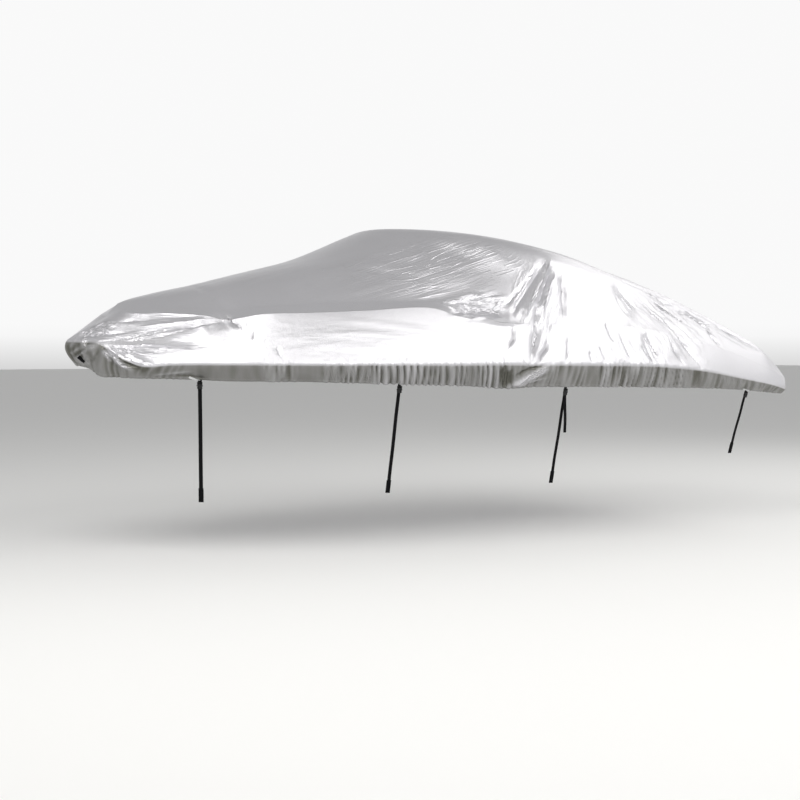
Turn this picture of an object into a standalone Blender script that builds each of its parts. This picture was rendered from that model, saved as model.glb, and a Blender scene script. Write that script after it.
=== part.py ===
# Fitted boat cover, in the shape that the cloth takes when it is drawn tight and tied down.
# The tables measure x aft from the bow tip, y out from the centreline and z up from the ground.
# Port is -Y and starboard +Y. Every object is moved so that DATUM, where the top is carried,
# comes to the origin.
import bmesh
import bpy
from mathutils import Vector
from mathutils.bvhtree import BVHTree

CM = 0.01
PORT, STARBOARD = -1, 1
DATUM = Vector((2.45, 0.0, 2.135))    # just under the cloth at its highest place
CLOTH = 0.0025                        # thickness of the coated cloth
SEAM_GAP = 0.0006                     # air between two panels along a seam
SEAT_GAP = 0.0004                     # air between a buckle and its strap
SKIN_GAP = 0.0008                     # and between a strap or a patch and the faces of the cloth
EDGE_MARGIN = 0.2                     # a strap keeps this part of a face's length to the face's ends
PITCH = 0.090                         # distance between two lines of points along the side
FINE_PITCH = 0.055                    # and beside the screen, where the folds are close
FINE_FROM = ("sag", "pocket", "wing", "screen")
SHOULDER_STEPS = 4                    # rows of faces from seam to shoulder
TOP_STEPS = 6                         # and from shoulder to spine
SKIRT_ROWS = (0.0, 0.5, 0.86)         # points of a section, as parts of the way from hem to rail
SIDE_ROWS = (0.07, 0.30, 0.54, 0.78, 1.0)    # and from rail to seam; between them the rail is round
SKIRT_BELLY = 0.008                   # how far the skirt bulges between hem and rail
SIDE_BELLY = 0.006
TOP_REACH = 0.72                      # part of the shoulder's breadth where the top turns level
STERN_BULGE = 0.05                    # how far the hem of the stern stands aft of its corners
STERN_RISE = 0.022                    # and above them, at its middle
STEM_BELLY = 0.026                    # the further bulge of the skirt at the stem
STEM_REACH = 0.40                     # where along the rail it has faded out
BOW_CENTRE = 1.2                      # forward of it the side turns round the bow
SIDE_COUNT = len(SKIRT_ROWS) + len(SIDE_ROWS)
MITRE = 1.6                           # most that a crease may deepen the inner face
FOLD_END = 0.35                       # height of a fold's two ends, as a part of its full height
MERGE = 0.00001                       # points of two panels closer than this are one
PANELS = ("top_panel", "port_side_panel", "starboard_side_panel", "stern_panel")

# A row for each section of one half, from the bow round to the stern corner, in centimetres.
# The skirt lies between hem and rail, the side between rail and seam, the top inside the seam.
LINES = ("hem", "rail", "seam", "shoulder", "spine")
#               hem x, y, z          rail x, y, z         seam x, y, z         shoulder x, y, z     spine x, z
SECTIONS = {
    "stem":    ((8.5, 0, 119.0),     (0.5, 0, 134.5),     (25.5, 0, 149.0),    (30.0, 0, 154.0),    (35.0, 158.5)),
    "face":    ((12.5, 10, 117.0),   (5.8, 14, 134.3),    (26.8, 9, 150.5),    (33.0, 7, 155.2),    (40.0, 160.4)),
    "corner":  ((15.5, 20, 112.5),   (12.6, 25, 133.5),   (30.5, 17, 151.8),   (37.0, 13, 156.3),   (46.0, 162.2)),
    "flare":   ((23.6, 28, 111.8),   (19.5, 33.5, 126.2), (35.5, 24, 152.0),   (43.0, 19, 156.2),   (55.0, 164.3)),
    "cheek":   ((34.0, 38, 111.3),   (32.0, 46, 118.6),   (44.0, 34, 151.7),   (50.5, 28, 156.0),   (65.0, 166.6)),
    "bow":     ((49.0, 49, 110.9),   (45.7, 58, 119.4),   (56.2, 44, 151.4),   (62.5, 36, 156.2),   (78.0, 169.4)),
    "strap 1": ((65.6, 61, 110.2),   (61.4, 70, 119.7),   (70.9, 56, 150.1),   (77.0, 46, 156.0),   (93.0, 172.6)),
    "pinch":   ((80.9, 70, 109.5),   (76.5, 79, 119.7),   (83.2, 63, 148.0),   (89.0, 53, 155.2),   (108.0, 176.2)),
    "rail 1":  ((97.5, 78, 109.3),   (92.5, 87.5, 119.6), (99.7, 74, 151.0),   (104.0, 62, 157.2),  (122.0, 179.6)),
    "rail 2":  ((125.8, 88, 108.9),  (120.1, 98, 119.4),  (128.1, 84, 152.0),  (130.0, 70, 159.0),  (145.0, 185.2)),
    "rail 3":  ((161.5, 95, 107.8),  (154.8, 106, 119.3), (164.0, 91, 153.7),  (162.0, 78, 160.6),  (168.0, 191.2)),
    "rail 4":  ((207.6, 100, 106.2), (199.8, 111.5, 119), (212.6, 96, 155.9),  (213.0, 86, 162.0),  (193.0, 201.0)),
    "sag":     ((238.2, 101, 105.1), (229.9, 113, 119.0), (232.0, 100, 149.8), (244.1, 93, 168.3),  (206.0, 206.6)),
    "pocket":  ((268.1, 102, 103.0), (259.0, 114, 119.2), (261.4, 103, 145.8), (271.8, 90, 178.3),  (215.0, 210.3)),
    "wing":    ((291.2, 103, 103.9), (282.2, 114, 118.7), (286.0, 103, 145.7), (299.6, 87, 186.2),  (222.5, 213.0)),
    "screen":  ((314.9, 103, 103.6), (305.5, 114, 118.6), (313.5, 103, 145.9), (323.5, 85, 196.4),  (233.0, 213.7)),
    "aft 1":   ((353.3, 103, 103.0), (343.3, 114, 118.2), (350.7, 103, 145.6), (355.2, 83, 190.9),  (280.0, 212.5)),
    "aft 2":   ((397.9, 103, 102.1), (387.7, 114, 117.4), (393.8, 103, 142.8), (401.0, 80, 177.0),  (348.0, 200.5)),
    "aft 3":   ((449.7, 102, 100.6), (439.2, 112, 113.4), (444.4, 103, 134.4), (451.4, 82, 159.6),  (422.0, 182.5)),
    "strap 4": ((490.6, 101, 98.7),  (480.7, 110, 107.2), (485.1, 103, 123.3), (490.5, 88, 143.0),  (478.0, 162.0)),
    "quarter": ((516.0, 101, 96.5),  (511.0, 108, 102.6), (513.0, 104, 113.5), (513.5, 94, 131.0),  (511.0, 143.0)),
    "stern":   ((528.0, 101, 95.5),  (530.0, 104, 98.8),  (530.0, 103, 108.0), (528.5, 97, 116.2),  (533.5, 125.0)),
}
# The elastic hem rides higher round the starboard side of the bow and of the stern.
STARBOARD_HEM = {"face": 118.6, "corner": 118.7, "flare": 118.5, "cheek": 115.4,
                 "strap 4": 99.4, "quarter": 98.0, "stern": 97.4}

# Main folds, in centimetres: where each starts and ends, how far it reaches to either side and
# how high it stands. A trough is negative.
FOLDS = {
    "bow ridge":          ((14, -25, 134), (79, -63, 145), 8, 1.4),
    "bow trough":         ((14, -26, 132), (65, -65, 131), 6, -1.2),
    "bow corner ridge":   ((15, -28, 129), (27, -40, 119), 5, 1.6),
    "bow corner trough":  ((18, -31, 130), (33, -46, 118), 6, -1.4),
    "bow pinch":          ((82, -62, 149), (66, -58, 142), 9, -1.6),
    "pocket":             ((234, -97, 157), (268, -98, 157), 10, -4.0),
    "pocket lip":         ((226, -99, 150), (270, -102, 148), 5, 1.2),
    "screen trough 1":    ((311, -87, 188), (276, -100, 154), 7, -2.6),
    "screen ridge 1":     ((317, -87, 190), (289, -100, 156), 6, 1.5),
    "screen trough 2":    ((318, -89, 186), (298, -98, 160), 6, -2.4),
    "side trough 2":      ((298, -98, 160), (280, -113, 124), 6, -1.8),
    "screen trough 3":    ((324, -91, 180), (317, -102, 151), 7, -1.8),
    "aft top trough":     ((375, -86, 176), (384, -100, 150), 9, -1.2),
    "aft long trough":    ((398, -89, 163), (417, -101, 142), 9, -1.9),
    "aft long trough 2":  ((417, -101, 142), (434, -112, 117), 8, -1.9),
    "aft long ridge":     ((413, -86, 165), (441, -97, 142), 8, 1.2),
    "aft side trough":    ((386, -104, 141), (394, -114, 119), 7, -1.4),
    "aft shoulder":       ((434, -87, 158), (467, -92, 143), 8, -1.3),
    "quarter trough":     ((470, -87, 149), (508, -96, 129), 9, -1.5),
    "knot ridge":         ((269, -104, 105), (296, -113, 117), 5, 1.7),
    "knot trough":        ((260, -112, 115), (268, -103, 104), 6, -1.6),
    "top ridge 1":        ((150, -45, 180), (215, -50, 197), 14, 1.2),
    "top trough 1":       ((128, -60, 164), (226, -66, 188), 14, -1.2),
    "top ridge 2":        ((178, -78, 163), (262, -82, 186), 10, 1.4),
    "starboard pocket":   ((236, 97, 157), (270, 98, 157), 12, -3.0),
    "starboard screen":   ((318, 88, 188), (290, 104, 146), 9, -2.0),
    "starboard long":     ((392, 89, 166), (430, 112, 118), 10, -1.8),
    "starboard bow":      ((15, 27, 132), (62, 64, 130), 8, -1.2),
}

WEBBING_WIDE = 0.025
WEBBING_THICK = 0.0018
STRAP_TUCK = 0.030                    # length of strap behind the skirt
STRAP_BEND = 0.007                    # over which the strap turns down below the hem
END_LENGTH = 0.085                    # the folded and stitched lower end
END_WIDE = 0.031
END_THICK = 0.0048
# The tie-down straps of one side, in centimetres: x at the hem, then y and z of the lower end.
STRAPS = {1: (65.4, 62, 35.4), 2: (186.0, 83, 36.4), 3: (317.8, 86, 36.7), 4: (492.4, 83, 50.5)}
TAIL_OF = 3                           # the port strap whose free end hangs from its buckle
TAIL_LENGTH = 0.255
TAIL_STEPS = 4
BUCKLE_THICK = 0.009
BUCKLE_DROP = 0.025                   # from the strap's bend to the middle of the buckle
# One half of the buckle's outline, from its top to its bottom: breadth and height.
BUCKLE_OUTLINE = ((14, 23), (17, 19), (17, 8), (19, 4), (19, -7), (16, -11), (16, -20), (13, -23))
MM = 0.001

PATCH_THICK = 0.0012
PATCH_STEPS = 5                       # faces along and across a patch
PATCHES = {1: (61.5, 0.012, 0.072, 0.018), 4: (491.0, 0.009, 0.080, 0.012)}    # x, rise, long, tall
FORE_AND_AFT = Vector((1, 0, 0))
BOW_TAB = (Vector((0.075, -0.100, 1.235)), Vector((0.4, -1, 0.9)), 0.030, 0.058)


def curve(points, steps):
    """A smooth line through the points, with steps[i] steps in interval i."""
    ends = [2 * points[0] - points[1]] + points + [2 * points[-1] - points[-2]]
    line = [points[0].copy()]
    for i, count in enumerate(steps):
        a, b, c, d = ends[i:i + 4]
        ab, bc, cd = ((q - p).length ** 0.5 for p, q in ((a, b), (b, c), (c, d)))
        leave = bc * ((b - a) / ab - (c - a) / (ab + bc) + (c - b) / bc)
        arrive = bc * ((c - b) / bc - (d - b) / (bc + cd) + (d - c) / cd)
        for k in range(1, count + 1):
            t = k / count
            line.append((2 * t ** 3 - 3 * t ** 2 + 1) * b + (t ** 3 - 2 * t ** 2 + t) * leave
                        + (3 * t ** 2 - 2 * t ** 3) * c + (t ** 3 - t ** 2) * arrive)
    return line


def section_point(name, line, side):
    point = SECTIONS[name][LINES.index(line)]
    x, y, z = point if len(point) == 3 else (point[0], 0, point[1])
    if line == "hem" and side == STARBOARD:
        z = STARBOARD_HEM.get(name, z)
    return Vector((x, side * y, z)) * CM


def long_lines(side):
    """The five lines of one half, each with the same number of points."""
    rail = [section_point(name, "rail", side) for name in SECTIONS]
    steps = []
    for name, p, q in zip(SECTIONS, rail, rail[1:]):
        pitch = FINE_PITCH if name in FINE_FROM else PITCH
        steps.append(max(2, round((q - p).length / pitch)))
    return {line: curve([section_point(name, line, side) for name in SECTIONS], steps) for line in LINES}


def out_from(point):
    """The level direction that points out of the cover, which turns forward round the bow."""
    return Vector((min(0.0, point.x - BOW_CENTRE), point.y, 0.0)).normalized()


def half_section(hem, rail, seam, shoulder, spine):
    """The points of one section, from hem to spine."""
    belly = SKIRT_BELLY + STEM_BELLY * max(0.0, 1 - rail.x / STEM_REACH)
    points = [hem.lerp(rail, t) + out_from(rail) * belly * 4 * t * (1 - t) for t in SKIRT_ROWS]
    points += [rail.lerp(seam, t) + out_from(rail) * SIDE_BELLY * 4 * t * (1 - t) for t in SIDE_ROWS]
    points += [seam.lerp(shoulder, k / SHOULDER_STEPS) for k in range(1, SHOULDER_STEPS + 1)]
    bend = Vector((spine.x, TOP_REACH * shoulder.y, spine.z))
    for k in range(1, TOP_STEPS + 1):
        t = k / TOP_STEPS
        points.append((1 - t) ** 2 * shoulder + 2 * t * (1 - t) * bend + t * t * spine)
    return points


def stern_rows(port, starboard):
    """The stern panel, spanned between the last sections of the two halves, the hem and the top."""
    shoulder = SIDE_COUNT + SHOULDER_STEPS - 1
    top = port[shoulder:] + starboard[shoulder:-1][::-1]
    rows = []
    for k, crest in enumerate(top):
        u = k / (len(top) - 1)
        row = []
        for m in range(shoulder + 1):
            up = m / shoulder
            level = port[m].lerp(starboard[m], u)
            chord = top[0].lerp(top[-1], u)
            level += up * (crest - chord)
            level += Vector((STERN_BULGE, 0, STERN_RISE)) * (1 - up) * 4 * u * (1 - u)
            row.append(level)
        rows.append(row)
    return rows


def add_grid(bm, rows, panel_of):
    """A sheet of quads whose corners are rows[i][j]; panel_of(j) names the panel of a face."""
    longs = len(rows) - 1
    acrosses = len(rows[0]) - 1
    tag = bm.faces.layers.int["panel"]
    verts = bmesh.ops.create_grid(bm, x_segments=longs, y_segments=acrosses, size=1)["verts"]
    bm.faces.ensure_lookup_table()
    for face in bm.faces[-longs * acrosses:]:
        j = int((face.calc_center_median().y + 1) / 2 * acrosses)
        face[tag] = PANELS.index(panel_of(j))
    for vert in verts:
        i = round((vert.co.x + 1) / 2 * longs)
        j = round((vert.co.y + 1) / 2 * acrosses)
        vert.co = rows[i][j]


def bell(distance, reach):
    """1 on a fold's line, falling smoothly to 0 at its reach."""
    t = min(1.0, distance / reach)
    return (1 - t * t) ** 2


def fold_lift(point, fold):
    """How far one fold moves the cloth at a point, outwards."""
    start, end, reach, height = fold
    a, b = Vector(start) * CM, Vector(end) * CM
    run = b - a
    t = max(0.0, min(1.0, (point - a).dot(run) / run.length_squared))
    fade = min(1.0, FOLD_END + 4 * t, FOLD_END + 4 * (1 - t))
    return height * CM * fade * bell((point - a - run * t).length, reach * CM)


def whole_skin():
    """The outer surface of the whole cover, merged, with its faces tagged by panel."""
    bm = bmesh.new()
    bm.faces.layers.int.new("panel")
    hems, last_sections = {}, []
    for side, panel in ((PORT, "port_side_panel"), (STARBOARD, "starboard_side_panel")):
        lines = long_lines(side)
        sections = [half_section(*points) for points in zip(*(lines[line] for line in LINES))]
        add_grid(bm, sections, lambda j, panel=panel: panel if j < SIDE_COUNT - 1 else "top_panel")
        hems[side] = lines["hem"]
        last_sections.append(sections[-1])
    add_grid(bm, stern_rows(*last_sections), lambda j: "stern_panel")
    bmesh.ops.remove_doubles(bm, verts=bm.verts, dist=MERGE)
    bmesh.ops.recalc_face_normals(bm, faces=bm.faces)
    bm.normal_update()
    lifts = {v: v.normal * sum(fold_lift(v.co, fold) for fold in FOLDS.values()) for v in bm.verts}
    for vert, lift in lifts.items():
        vert.co += lift
    bm.normal_update()
    bm.faces.ensure_lookup_table()
    return bm, hems


def seam_shift(vert, panel, tag):
    """Moves a point of a panel's seam in by half of the seam's gap, square to each seam edge."""
    ways = []
    for edge in vert.link_edges:
        sides = {f[tag] for f in edge.link_faces}
        if len(sides) == 2 and panel in sides:
            face = next(f for f in edge.link_faces if f[tag] == panel)
            run = edge.other_vert(vert).co - vert.co
            way = face.calc_center_median() - vert.co
            ways.append((way - run * way.dot(run) / run.length_squared).normalized())
    if not ways:
        return Vector()
    total = sum(ways, Vector())
    return total * (SEAM_GAP / 2) * len(ways) / total.length_squared


def panel_solid(skin, name):
    """One panel as a closed sheet: its outer face, the same face inside, and its rim."""
    panel = PANELS.index(name)
    tag = skin.faces.layers.int["panel"]
    faces = [f for f in skin.faces if f[tag] == panel]
    bm = bmesh.new()
    outer, inner = {}, {}
    for vert in (v for v in skin.verts if panel in {f[tag] for f in v.link_faces}):
        place = vert.co + seam_shift(vert, panel, tag) - DATUM
        outer[vert] = bm.verts.new(place)
        inner[vert] = bm.verts.new(place - vert.normal * CLOTH * min(vert.calc_shell_factor(), MITRE))
    for face in faces:
        bm.faces.new([outer[v] for v in face.verts])
        bm.faces.new([inner[v] for v in reversed(face.verts)])
    for edge in skin.edges:
        if [f[tag] for f in edge.link_faces].count(panel) == 1:
            a, b = sorted(edge.verts, key=lambda v: v.co[:])
            bm.faces.new([outer[a], outer[b], inner[b]])
            bm.faces.new([outer[a], inner[b], inner[a]])
    bmesh.ops.recalc_face_normals(bm, faces=bm.faces)
    return bm


class Seat:
    """The skin's lowest face nearest to a point of the hem, with its own directions."""

    def __init__(self, skin, tree, point):
        face = skin.faces[tree.find_nearest(point)[2]]
        low = min(face.edges, key=lambda e: e.verts[0].co.z + e.verts[1].co.z)
        fore, aft = sorted((v.co for v in low.verts), key=lambda co: co.x)
        part = (point.x - fore.x) / (aft.x - fore.x)
        self.foot = fore.lerp(aft, max(EDGE_MARGIN, min(1 - EDGE_MARGIN, part))) - DATUM
        self.along = (aft - fore).normalized()
        self.out = face.normal.copy()
        self.up = self.along.cross(self.out)
        if self.up.z < 0:
            self.up = -self.up


def thicken(bm, way):
    """Closes an open sheet into a solid by a copy of its faces moved along way."""
    made = bmesh.ops.extrude_face_region(bm, geom=bm.faces[:])["geom"]
    bmesh.ops.translate(bm, vec=way, verts=[v for v in made if isinstance(v, bmesh.types.BMVert)])
    bmesh.ops.recalc_face_normals(bm, faces=bm.faces)


def prism(outline, middle, right, up, thick):
    """A flat piece: an outline drawn along right and up, thick on both sides of its middle."""
    bm = bmesh.new()
    out = right.cross(up) * thick
    bm.faces.new([bm.verts.new(middle + right * x + up * y - out / 2) for x, y in outline])
    thicken(bm, out)
    return bm


def patch(tree, middle, right, wide, tall):
    """A small piece of cloth or webbing that follows the skin, turned so that it runs right."""
    near, out = tree.find_nearest(middle)[:2]
    right = (right - out * right.dot(out)).normalized()
    up = out.cross(right)
    bm = bmesh.new()
    grid = bmesh.ops.create_grid(bm, x_segments=PATCH_STEPS, y_segments=PATCH_STEPS, size=0.5)
    for vert in grid["verts"]:
        flat = near + right * vert.co.x * wide + up * vert.co.y * tall
        place, normal = tree.find_nearest(flat)[:2]
        vert.co = place + normal * SKIN_GAP - DATUM
    thicken(bm, out * PATCH_THICK)
    return bm


def band(stops, across):
    """Webbing along a path; each stop is (place, wide, thick)."""
    bm = bmesh.new()
    rings = []
    for i, (place, wide, thick) in enumerate(stops):
        before = stops[max(0, i - 1)][0]
        after = stops[min(len(stops) - 1, i + 1)][0]
        out = across.cross(after - before).normalized()
        corners = ((-1, -1), (1, -1), (1, 1), (-1, 1))
        rings.append([bm.verts.new(place + across * a * wide / 2 + out * b * thick / 2) for a, b in corners])
    for low, high in zip(rings, rings[1:]):
        for k in range(4):
            bm.faces.new([low[k], low[(k + 1) % 4], high[(k + 1) % 4], high[k]])
    bm.faces.new(rings[0][::-1])
    bm.faces.new(rings[-1])
    bmesh.ops.recalc_face_normals(bm, faces=bm.faces)
    return bm


def hem_point(hem, x):
    """The point of the hem at x, in centimetres."""
    fore, aft = next((p, q) for p, q in zip(hem, hem[1:]) if p.x <= x * CM <= q.x)
    return fore.lerp(aft, (x * CM - fore.x) / (aft.x - fore.x))


def strap_stops(seat, end):
    """The path of a strap from behind the skirt to its lower end, and where and how it falls."""
    back = seat.foot - seat.out * (CLOTH + SKIN_GAP + WEBBING_THICK / 2)
    knee = back - seat.up * STRAP_BEND
    fall = (end - knee).normalized()
    stops = [(back + seat.up * STRAP_TUCK, WEBBING_WIDE, WEBBING_THICK), (back, WEBBING_WIDE, WEBBING_THICK)]
    bend_end = knee + fall * STRAP_BEND
    for t in (0.33, 0.67, 1.0):
        place = (1 - t) ** 2 * back + 2 * t * (1 - t) * knee + t * t * bend_end
        stops.append((place, WEBBING_WIDE, WEBBING_THICK))
    fold = end - fall * END_LENGTH
    stops.append((fold, WEBBING_WIDE, WEBBING_THICK))
    stops += [(place, END_WIDE, END_THICK) for place in (fold + fall * MM, end)]
    return stops, bend_end, fall


def material(name, colour, roughness, metallic=0.0):
    made = bpy.data.materials.new(name)
    made.use_nodes = True
    shader = made.node_tree.nodes["Principled BSDF"]
    shader.inputs["Base Color"].default_value = (*colour, 1)
    shader.inputs["Roughness"].default_value = roughness
    shader.inputs["Metallic"].default_value = metallic
    return made


def add_object(name, bm, finish):
    mesh = bpy.data.meshes.new(name)
    bm.to_mesh(mesh)
    bm.free()
    mesh.materials.append(finish)
    made = bpy.data.objects.new(name, mesh)
    bpy.context.collection.objects.link(made)
    return made


for old in list(bpy.data.objects):
    bpy.data.objects.remove(old)

cloth = material("coated_cloth", (0.62, 0.63, 0.65), 0.45, 0.2)
patch_cloth = material("patch_cloth", (0.70, 0.71, 0.72), 0.5, 0.1)
webbing = material("webbing", (0.015, 0.015, 0.016), 0.75)
plastic = material("buckle_plastic", (0.02, 0.02, 0.022), 0.4)

skin, hems = whole_skin()
tree = BVHTree.FromBMesh(skin)
for name in PANELS:
    add_object(name, panel_solid(skin, name), cloth)

for number, (x, end_y, end_z) in STRAPS.items():
    seat = Seat(skin, tree, hem_point(hems[PORT], x))
    end = Vector((seat.foot.x, PORT * end_y * CM, end_z * CM - DATUM.z))
    stops, bend_end, fall = strap_stops(seat, end)
    add_object(f"port_strap_{number}", band(stops, seat.along), webbing)
    out = fall.cross(seat.along)
    middle = bend_end + fall * BUCKLE_DROP + out * (WEBBING_THICK / 2 + SEAT_GAP + BUCKLE_THICK / 2)
    outline = [(side * x * MM, y * MM) for side in (1, -1) for x, y in BUCKLE_OUTLINE[::side]]
    add_object(f"port_buckle_{number}", prism(outline, middle, seat.along, -fall, BUCKLE_THICK), plastic)
    if number == TAIL_OF:
        start = middle + fall * (BUCKLE_OUTLINE[0][1] * MM + SEAT_GAP)
        drop = Vector((0, 0, -TAIL_LENGTH / TAIL_STEPS))
        stops = [(start + drop * k, WEBBING_WIDE, WEBBING_THICK) for k in range(TAIL_STEPS + 1)]
        add_object(f"port_strap_{number}_tail", band(stops, seat.along), webbing)

for number, (x, rise, wide, tall) in PATCHES.items():
    place = hem_point(hems[PORT], x) + Vector((0, 0, rise))
    add_object(f"port_patch_{number}", patch(tree, place, FORE_AND_AFT, wide, tall), patch_cloth)
place, right, wide, tall = BOW_TAB
add_object("bow_tab", patch(tree, place, right, wide, tall), webbing)
skin.free()
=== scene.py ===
# Fitted boat cover of silver coated cloth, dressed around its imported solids.
# The tables are in centimetres: x aft from the bow tip, y out to starboard, z up from the ground.
import math
from itertools import combinations

import bmesh
import bpy
import numpy as np
from mathutils import Matrix, Vector, noise
from mathutils.bvhtree import BVHTree


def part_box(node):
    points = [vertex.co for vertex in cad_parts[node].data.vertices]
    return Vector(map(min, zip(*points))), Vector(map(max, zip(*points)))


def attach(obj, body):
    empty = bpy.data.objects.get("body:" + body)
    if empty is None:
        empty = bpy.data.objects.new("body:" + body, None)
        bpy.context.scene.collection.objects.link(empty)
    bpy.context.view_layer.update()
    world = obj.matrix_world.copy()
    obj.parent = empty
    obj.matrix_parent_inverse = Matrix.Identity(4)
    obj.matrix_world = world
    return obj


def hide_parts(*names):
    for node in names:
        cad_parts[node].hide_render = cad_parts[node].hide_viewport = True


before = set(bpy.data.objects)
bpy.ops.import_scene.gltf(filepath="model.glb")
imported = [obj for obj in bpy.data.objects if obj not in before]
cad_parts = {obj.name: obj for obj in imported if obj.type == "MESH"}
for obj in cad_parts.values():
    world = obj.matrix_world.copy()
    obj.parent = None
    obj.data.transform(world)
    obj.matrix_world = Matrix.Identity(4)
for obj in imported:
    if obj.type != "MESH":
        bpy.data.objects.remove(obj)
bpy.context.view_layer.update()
print("frame loaded with", len(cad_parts), "nodes")

cm = 0.01
port, starboard = -1, 1
datum = np.array([2.45, 0.0, 2.135])   # the frame's origin, in metres
mergeWithin = 0.00002                  # metres between two points that are made one


def addObject(name, data):
    made = bpy.data.objects.new(name, data)
    bpy.context.collection.objects.link(made)
    return made


def meshObject(name, bm, material):
    mesh = bpy.data.meshes.new(name)
    bm.to_mesh(mesh)
    bm.free()
    mesh.materials.append(material)
    return addObject(name, mesh)


def addNode(tree, kind, settings=None, **inputs):
    # an input is named by its title, or as in0, in1 and so on
    node = tree.nodes.new("ShaderNode" + kind)
    for key, value in (settings or {}).items():
        setattr(node, key, value)
    for title, value in inputs.items():
        socket = node.inputs[title] if not title.startswith("in") else node.inputs[int(title[2:])]
        if isinstance(value, bpy.types.NodeSocket):
            tree.links.new(value, socket)
        else:
            socket.default_value = value
    return node


# ---------- camera, floor and light

view = {
    "place": (-5.7835, -9.008, -0.835),
    "heading": (0.5431, 0.8397),       # x and y of the level direction that it looks in
    "lens": 67.5,
    "filmWidth": 36.0,
    "shiftUp": -0.065,
    "farthest": 200,
}
camera = addObject("camera", bpy.data.cameras.new("camera"))
camera.location = view["place"]
camera.rotation_euler = (math.pi / 2, 0, -math.atan2(*view["heading"]))
camera.data.lens = view["lens"]
camera.data.sensor_width = view["filmWidth"]
camera.data.shift_y = view["shiftUp"]
camera.data.clip_end = view["farthest"]
bpy.context.scene.camera = camera

studio = {
    "floorWidth": 160.0,
    "floorColour": (0.90, 0.90, 0.89),
    "floorRoughness": 0.8,
    # how light the sky is, from straight down, 0, to straight up, 1
    "sky": ((0.0, 0.30), (0.49, 0.60), (0.505, 0.95), (0.62, 0.95), (0.70, 0.52), (0.80, 0.38), (1.0, 0.32)),
    "skyStrength": 1.0,
    "lampColour": (1.0, 0.99, 0.97),
    "view": "Standard",
}
lamps = {
    # name: (place, aim, width, height, watts)
    "key": ((2.6, -7.4, 4.1), (0.3, -1.0, -0.7), 13.0, 3.6, 400),
    "bow": ((-5.3, -3.4, 4.7), (-1.6, -0.7, -0.8), 6.2, 4.0, 260),
    "aft": ((8.6, 0.2, 4.5), (1.5, -0.6, -0.5), 8.0, 4.0, 160),
}

for name, (place, aim, width, height, watts) in lamps.items():
    lamp = bpy.data.lights.new(name, "AREA")
    lamp.shape = "RECTANGLE"
    lamp.size, lamp.size_y = width, height
    lamp.energy = watts
    lamp.color = studio["lampColour"]
    lampObject = addObject(name, lamp)
    lampObject.location = place
    lampObject.rotation_euler = (Vector(aim) - Vector(place)).to_track_quat("-Z", "Y").to_euler()

world = bpy.data.worlds.new("studio")
world.use_nodes = True
sky = world.node_tree
skyWay = addNode(sky, "SeparateXYZ", in0=addNode(sky, "TexCoord").outputs["Generated"])
skyUp = addNode(sky, "MapRange", Value=skyWay.outputs["Z"], **{"From Min": -1})
skyRamp = addNode(sky, "ValToRGB", Fac=skyUp.outputs["Result"])
for spot, (up, grey) in enumerate(studio["sky"]):
    stops = skyRamp.color_ramp.elements
    stop = stops[0] if spot == 0 else stops[-1] if up == 1 else stops.new(up)
    stop.color = (grey, grey, grey, 1)
sky.links.new(skyRamp.outputs["Color"], sky.nodes["Background"].inputs["Color"])
sky.nodes["Background"].inputs["Strength"].default_value = studio["skyStrength"]
bpy.context.scene.world = world
bpy.context.scene.view_settings.view_transform = studio["view"]

floorMaterial = bpy.data.materials.new("pale floor")
floorMaterial.use_nodes = True
floorShader = floorMaterial.node_tree.nodes["Principled BSDF"]
floorShader.inputs["Base Color"].default_value = (*studio["floorColour"], 1)
floorShader.inputs["Roughness"].default_value = studio["floorRoughness"]
bm = bmesh.new()
bmesh.ops.create_grid(bm, x_segments=1, y_segments=1, size=studio["floorWidth"] / 2)
bmesh.ops.translate(bm, verts=bm.verts, vec=(0, 0, -datum[2]))
meshObject("floor", bm, floorMaterial)


# ---------- materials

pattern = {
    "ridgeNarrow": 6.0,                # the higher it is, the narrower the crests of a noise
    "crinkleSharp": 1.6, "crinkleDetail": 2.0,
    "smallSharp": 1.3, "smallFiner": 3.1, "smallShare": 0.35,
    "patchScale": 1.9, "patchFrom": 0.42, "patchTo": 0.66,     # where crinkles are, and where none is
    "pullSharp": 1.4, "pullDetail": 1.5,
    "creaseSharp": 1.7, "creaseReach": 0.011,
    "stitch": 0.005, "rowsApart": 0.007, "thread": 0.0007, "threadShare": 0.68,
    "stainScale": 2.3, "rubScale": 60.0, "rubShare": 0.5,
}


def newGroup(name, inputs, outputs):
    tree = bpy.data.node_groups.new(name, "ShaderNodeTree")
    for title, kind, value in inputs:
        socket = tree.interface.new_socket(title, in_out="INPUT", socket_type="NodeSocket" + kind)
        if value is not None:
            socket.default_value = value
    for title, kind in outputs:
        tree.interface.new_socket(title, in_out="OUTPUT", socket_type="NodeSocket" + kind)
    return tree, tree.nodes.new("NodeGroupInput").outputs, tree.nodes.new("NodeGroupOutput").inputs


def maths(tree, operation, a, b=0.0):
    return addNode(tree, "Math", {"operation": operation}, in0=a, in1=b).outputs[0]


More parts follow.
